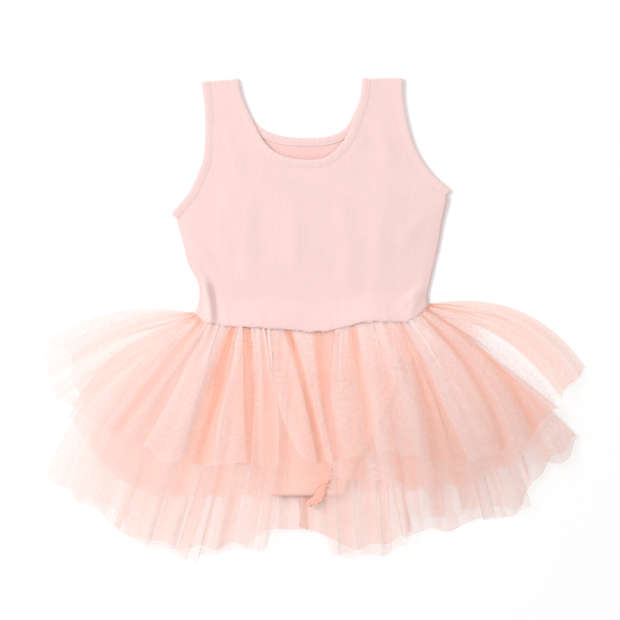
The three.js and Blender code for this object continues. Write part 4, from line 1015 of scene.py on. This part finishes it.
def tulle_material(name, cover):
    """Tulle: six-sided holes between fine threads. It stops the share 1 - (1 - cover)^(crowd / facing) of
    the light, more on the threads and less in the holes, where crowd is how many layers lie there and
    facing is 1 seen from straight above and less from the side. Its colour goes from pale, a painted light,
    to deep, a painted shade, with the attribute tone, times the attribute light, a painted shade at the lower
    right."""
    finish = (TULLE_ROUGHNESS, TULLE_SHEEN, TULLE_SHEEN_ROUGHNESS)
    material, shader = new_material(name, TULLE_SHADED_DEEP, *finish)
    tree = material.node_tree
    where = node(tree, "ShaderNodeTexCoord")
    net = node(tree, "ShaderNodeGroup")
    net.node_tree = TULLE_NET
    tree.links.new(where.outputs["UV"], net.inputs["Cloth"])
    crowd, tone, light = (node(tree, "ShaderNodeAttribute") for _ in range(3))
    crowd.attribute_name, tone.attribute_name, light.attribute_name = "crowd", "tone", "light"
    path = node(tree, "ShaderNodeLightPath")
    by_eye = math_node(tree, "MULTIPLY", path.outputs["Is Camera Ray"], 1 - SHADOW_SHARE)
    seen = math_node(tree, "ADD", by_eye, SHADOW_SHARE)
    thread_share = math_node(tree, "MULTIPLY", net.outputs["Threads"], cover)
    thread_share = math_node(tree, "MULTIPLY", thread_share, seen)
    open_share = math_node(tree, "SUBTRACT", 1.0, math_node(tree, "MINIMUM", thread_share, MOST_COVER))
    edge_on = node(tree, "ShaderNodeLayerWeight")
    edge_on.inputs["Blend"].default_value = 0.5
    facing = math_node(tree, "SUBTRACT", 1.0, edge_on.outputs["Facing"])
    facing = math_node(tree, "MAXIMUM", facing, LEAST_FACING)
    layers = math_node(tree, "DIVIDE", crowd.outputs["Fac"], facing)
    passed = math_node(tree, "POWER", open_share, layers)
    tree.links.new(math_node(tree, "SUBTRACT", 1.0, passed), shader.inputs["Alpha"])
    mixed = node(tree, "ShaderNodeMix", data_type="RGBA")
    tree.links.new(tone.outputs["Fac"], mixed.inputs["Factor"])
    mixed.inputs[6].default_value = (*TULLE_LIT_PALE, 1)
    mixed.inputs[7].default_value = (*TULLE_SHADED_DEEP, 1)
    tint = node(tree, "ShaderNodeVectorMath", operation="SCALE")
    tree.links.new(mixed.outputs[2], tint.inputs[0])
    lit = math_node(tree, "MULTIPLY", net.outputs["Tone"], light.outputs["Fac"])
    tree.links.new(lit, tint.inputs["Scale"])
    tree.links.new(tint.outputs[0], shader.inputs["Base Color"])
    return material


THREAD_WAYS, THREAD_SHARPNESS, THREAD_GAIN, THREAD_BASE = (90, 30, 150), 5.0, 1.4, 0.45
MOIRE_SCALE, MOIRE_BASE, TONE_SCALE, TONE_SPAN, TONE_BASE = 260, 0.5, 45, 0.06, 0.97


def tulle_group():
    """Three sets of thin parallel lines at 60 degrees to each other, a fixed pitch apart. Threads is
    their strongest, about 1 on average, swelling with a fine noise; Tone is a colour factor about 1
    from slow noise."""
    group, come, go = new_group(
        "tulle_net",
        [("Cloth", "NodeSocketVector", None), ("Pitch", "NodeSocketFloat", 0.0016)],
        [("Threads", "NodeSocketFloat"), ("Tone", "NodeSocketFloat")],
    )
    lines = []
    for turn in THREAD_WAYS:
        along = node(group, "ShaderNodeVectorMath", operation="DOT_PRODUCT")
        along.inputs[1].default_value = (np.cos(np.radians(turn)), np.sin(np.radians(turn)), 0)
        group.links.new(come.outputs["Cloth"], along.inputs[0])
        share = math_node(group, "DIVIDE", along.outputs["Value"], come.outputs["Pitch"])
        away = math_node(group, "SUBTRACT", math_node(group, "FRACT", share), 0.5)
        away = math_node(group, "MULTIPLY", math_node(group, "ABSOLUTE", away), 2.0)
        lines.append(math_node(group, "POWER", away, THREAD_SHARPNESS))
    strongest = math_node(group, "MAXIMUM", math_node(group, "MAXIMUM", lines[0], lines[1]), lines[2])
    threads = math_node(group, "ADD", math_node(group, "MULTIPLY", strongest, THREAD_GAIN), THREAD_BASE)
    swell = math_node(group, "ADD", noise(group, come.outputs["Cloth"], MOIRE_SCALE, 1), MOIRE_BASE)
    group.links.new(math_node(group, "MULTIPLY", threads, swell), go.inputs["Threads"])
    tone = math_node(group, "MULTIPLY", noise(group, come.outputs["Cloth"], TONE_SCALE, 2), TONE_SPAN)
    tone = math_node(group, "ADD", tone, TONE_BASE)
    group.links.new(tone, go.inputs["Tone"])
    return group


TULLE_NET = tulle_group()
tulle = tulle_material("tulle_peach", THREAD_COVER)
# pleats: the waist point of the fold line, width laid over, softness, side it faces, from and to
MIDDLE_PLEATS = [
    [-106, 20, 9, -1, 0, 1.2], [-92, 26, 8, -1, 0, 1.2], [-78, 18, 7, 1, 0, 1.2], [-66, 26, 6, -1, 0, 1.2],
    [-35, 20, 3, 1, 0, 1.2], [-18, 20, 7, -1, 0, 1.2], [2, 16, 7, 1, 0, 1.2], [22, 24, 6, -1, 0, 1.2],
    [46, 24, 5, 1, 0, 1.2], [60, 24, 8, -1, 0, 1.2], [76, 26, 8, 1, 0, 1.2], [94, 24, 8, -1, 0, 1.2],
]
INNER_PLEATS = [
    [-104, 16, 8, -1, 0, 1.2], [-98, 14, 7, 1, 0, 1.2], [-90, 18, 6, -1, 0, 1.2], [-80, 22, 6, 1, 0, 1.2],
    [-70.5, 14, 3, -1, 0, 1.2], [-61, 14, 3, 1, 0, 1.2], [-50, 20, 6, -1, 0, 1.2], [-36, 18, 6, 1, 0, 1.2],
    [-24, 16, 5, 1, 0, 1.2], [13, 18, 4, -1, 0, 1.2], [24, 20, 6, 1, 0, 1.2], [38, 20, 6, -1, 0, 1.2],
    [52, 14, 3, 1, 0, 1.2], [63, 12, 4, 1, 0, 1.2], [74, 20, 7, -1, 0, 1.2], [86, 20, 7, 1, 0, 1.2],
    [95, 16, 7, -1, 0, 1.2], [101, 16, 7, 1, 0, 1.2],
]


BACK_UNEVEN, BACK_OVERS, BACK_HALVES, BACK_ENDS = 0.25, (4, 14), (3, 5.5), [0.8, 1.2]


def back_pleats(seed, low, high, count):
    """Pleats of a back width, which nothing shows: uneven in place, width, side and length."""
    draw = np.random.default_rng(seed)
    uneven = draw.normal(0, BACK_UNEVEN * (high - low) / count, count)
    places = np.linspace(low, high, count + 2)[1:-1] + uneven
    overs, halves = draw.uniform(*BACK_OVERS, count), draw.uniform(*BACK_HALVES, count)
    faces, ends = draw.choice([-1, 1], count), draw.choice(BACK_ENDS, count)
    return [list(row) for row in zip(places, overs, halves, faces, np.zeros(count), ends)]


middle_lines = with_tone(MIDDLE_FRONT, deep=0.6, cover=5.4, right=1.7, bare=BARE)
inner_lines = with_tone(INNER_FRONT, deep=0.55, cover=6.6, right=1.05, bare=BARE)
# each tier: front lines, layer and pleats, back lines, layer, folds and pleats, gathers, sheet size
TIERS = {
    "outer": (OUTER_FRONT, OUTERMOST, [], OUTER_BACK, 0, 20, 10, 80, (1.35, 0.155)),
    "middle": (middle_lines, MIDDLE_LAYER, MIDDLE_PLEATS, MIDDLE_BACK, 1, 15, 8, 50, (1.3, 0.180)),
    "inner": (inner_lines, INNER_LAYER, INNER_PLEATS, INNER_BACK, 2, 22, 12, 60, (1.4, 0.240)),
}
BACK_MIDDLE, BACK_MIDDLE_X, BACK_MIDDLE_HALF = 2.6, -6, 27  # denser there, a painted shade in the notch between the front's lobes
BACK_PLEAT_EDGE, SIDE_TURN = 2, 0.004
ROW_STEP, FRONT_COLUMNS, BACK_COLUMNS = 0.0048, 900, 420
FRONT_SEED, BACK_SEED, PLEAT_SEED = 20, 30, 50
for seed, (tier, facts) in enumerate(TIERS.items()):
    front_lines, front_layer, pleats, back_table, back_layer, folds, turns, gathers, cut = facts
    steps = int(cut[1] / ROW_STEP)
    front = tier_face(front_lines, front_layer, FRONT_COLUMNS, steps, FRONT_SEED + seed, pleats, gathers)
    pleat_ends = (back_table[0][0] + BACK_PLEAT_EDGE, back_table[-1][0] - BACK_PLEAT_EDGE)
    under = back_pleats(PLEAT_SEED + seed, *pleat_ends, turns)
    back_lines = with_tone(back_rows(back_table, folds), deep=0.45, cover=5.0, right=1.2)
    off_middle = (back_lines[:, HEM_X] - BACK_MIDDLE_X) / BACK_MIDDLE_HALF
    back_lines[:, COVER] *= 1 + BACK_MIDDLE * np.exp(-(off_middle**2))
    back = tier_face(back_lines, back_layer, BACK_COLUMNS, steps, BACK_SEED + seed, under, gathers)
    right = side_turn(front[0][:, -1], back[0][:, -1])
    left = side_turn(back[0][:, 0], front[0][:, 0])
    turn_columns = right.shape[1]
    ring = np.concatenate([front[0], right, back[0][:, ::-1], left, front[0][:, :1]], 1)
    wide_front, wide_back = front[1][0, -1, 0], back[1][0, -1, 0]
    turn_uv = np.linspace(0, SIDE_TURN, turn_columns + 2)[1:-1]
    down = front[1][:, :1, 1]

    def turned(start):
        """The place on the cloth of a side's turn, which starts at this width."""
        return np.stack(np.broadcast_arrays(start + turn_uv[None], down), -1)

    back_uv = back[1][:, ::-1].copy()
    back_uv[..., 0] = wide_front + SIDE_TURN + wide_back - back_uv[..., 0]
    end_uv = front[1][:, :1].copy()
    end_uv[..., 0] = wide_front + wide_back + 2 * SIDE_TURN
    left_uv = turned(wide_front + wide_back + SIDE_TURN)
    uv = np.concatenate([front[1], turned(wide_front), back_uv, left_uv, end_uv], 1)
    looks = []
    for label, in_front, behind in zip(("crowd", "tone", "light"), front[2:], back[2:]):
        right_side = np.repeat(in_front[:, -1:], turn_columns, 1)
        left_side = np.repeat(in_front[:, :1], turn_columns, 1)
        around = [in_front, right_side, behind[:, ::-1], left_side, in_front[:, :1]]
        looks.append((label, [np.concatenate(around, 1)]))
    skirt = cloth_mesh(f"skirt_{tier}_tier", [ring], tulle, uvs=[uv], attributes=looks)
    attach(skirt, "root")
    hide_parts(f"skirt_{tier}_front", f"skirt_{tier}_back")

# Brief: the lower half of the leotard, a front and a back panel of peach jersey between the skirt's
# layers, cut away round the legs and closed between them with studs under a small frilled tab.
BRIEF_PEACH, PLAIN_BUMP = (0.94, 0.61, 0.52), 0.00003
BRIEF_WALL, BRIEF_BACK_LAYER, BRIEF_FRONT_LAYER = 0.8, 3, 4
BRIEF_EASE, BRIEF_DROP = 6, 1
BRIEF_WAVE, BRIEF_WAVE_FROM = 0.25, (20, 60)


def brief_net(layer, rows=60, columns=70):
    """Rows across the brief, its half width a smooth curve down from the waist, and its top rows bent
    to follow the seam. Its height is its layer's level and a slow wave."""
    outline = curve_through(BRIEF, count=rows)
    across = np.linspace(-1, 1, columns)[None]
    x = BRIEF_MIDDLE + outline[:, :1] * across
    y = outline[:, 1:] + 0 * across
    top = np.linspace(1, 0, rows)[:, None] ** BRIEF_EASE
    y = y + top * (waist_at(x) - BRIEF_DROP - y)
    wave = BRIEF_WAVE * np.sin(x / 9.0 + y / 30) * smooth(-y, *BRIEF_WAVE_FROM)
    return with_height(np.stack([x, y], 2), layer_level(layer, x, y) + wave)


brief_jersey = jersey_material("jersey_brief", BRIEF_PEACH, bump=PLAIN_BUMP)
for face, layer in (("back", BRIEF_BACK_LAYER), ("front", BRIEF_FRONT_LAYER)):
    panel = cloth_mesh(f"brief_{face}_panel", [brief_net(layer)], brief_jersey, wall=BRIEF_WALL)
    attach(panel, "root")
    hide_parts(f"brief_{face}")

# Frilled tab: the closed press studs at the crotch lie under a short ruffle of the brief's jersey, which
# looks out at the right of the middle. Its inner edge is sewn down and its outer edge waves freely.
TAB_LINE = [[12, -146], [9, -157], [5, -167], [0, -175], [-6, -181], [-9, -184]]
TAB_WIDTH, TAB_WAVES, TAB_WAVE_HEIGHT, TAB_SWING = 10.5, 8, 3.4, 2.6
TAB_LIFT, TAB_WALL = 0.3, 0.5
TAB_PEACH = (0.94, 0.53, 0.43)


def tab_net(columns=140, rows=9):
    """A strip beside a line, uneven in width and narrow at its ends, which rises and falls and swings
    along the line, the more so towards its outer edge: h (1 - cos t)/2 up and s sin t along, with t
    going round once for each wave."""
    line = curve_through(TAB_LINE, count=columns)
    heading = unit(np.gradient(line, axis=0))
    share = np.linspace(0, 1, columns)
    turn = 2 * np.pi * TAB_WAVES * (share + 0.012 * np.sin(17 * share))
    out = np.linspace(0, 1, rows)[:, None]
    ends = np.sin(np.pi * np.clip(share, 0.06, 0.94)) ** 0.4
    width = TAB_WIDTH * (0.8 + 0.2 * np.sin(9 * share + 1)) * ends
    side = np.stack([-heading[:, 1], heading[:, 0]], 1)
    outward = (out * width)[..., None] * side[None]
    swing = (out * TAB_SWING * np.sin(turn))[..., None] * heading[None]
    x, y = (line[None] + outward + swing).transpose(2, 0, 1)
    height = layer_level(INNER_LAYER, x, y) + TAB_LIFT + out * TAB_WAVE_HEIGHT * (1 - np.cos(turn)) / 2
    return np.stack([x, y, height], -1)


tab_jersey = jersey_material("jersey_tab", TAB_PEACH, bump=PLAIN_BUMP)
frill = cloth_mesh("snap_tab_frill", [tab_net()], tab_jersey, wall=TAB_WALL)
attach(frill, "root")
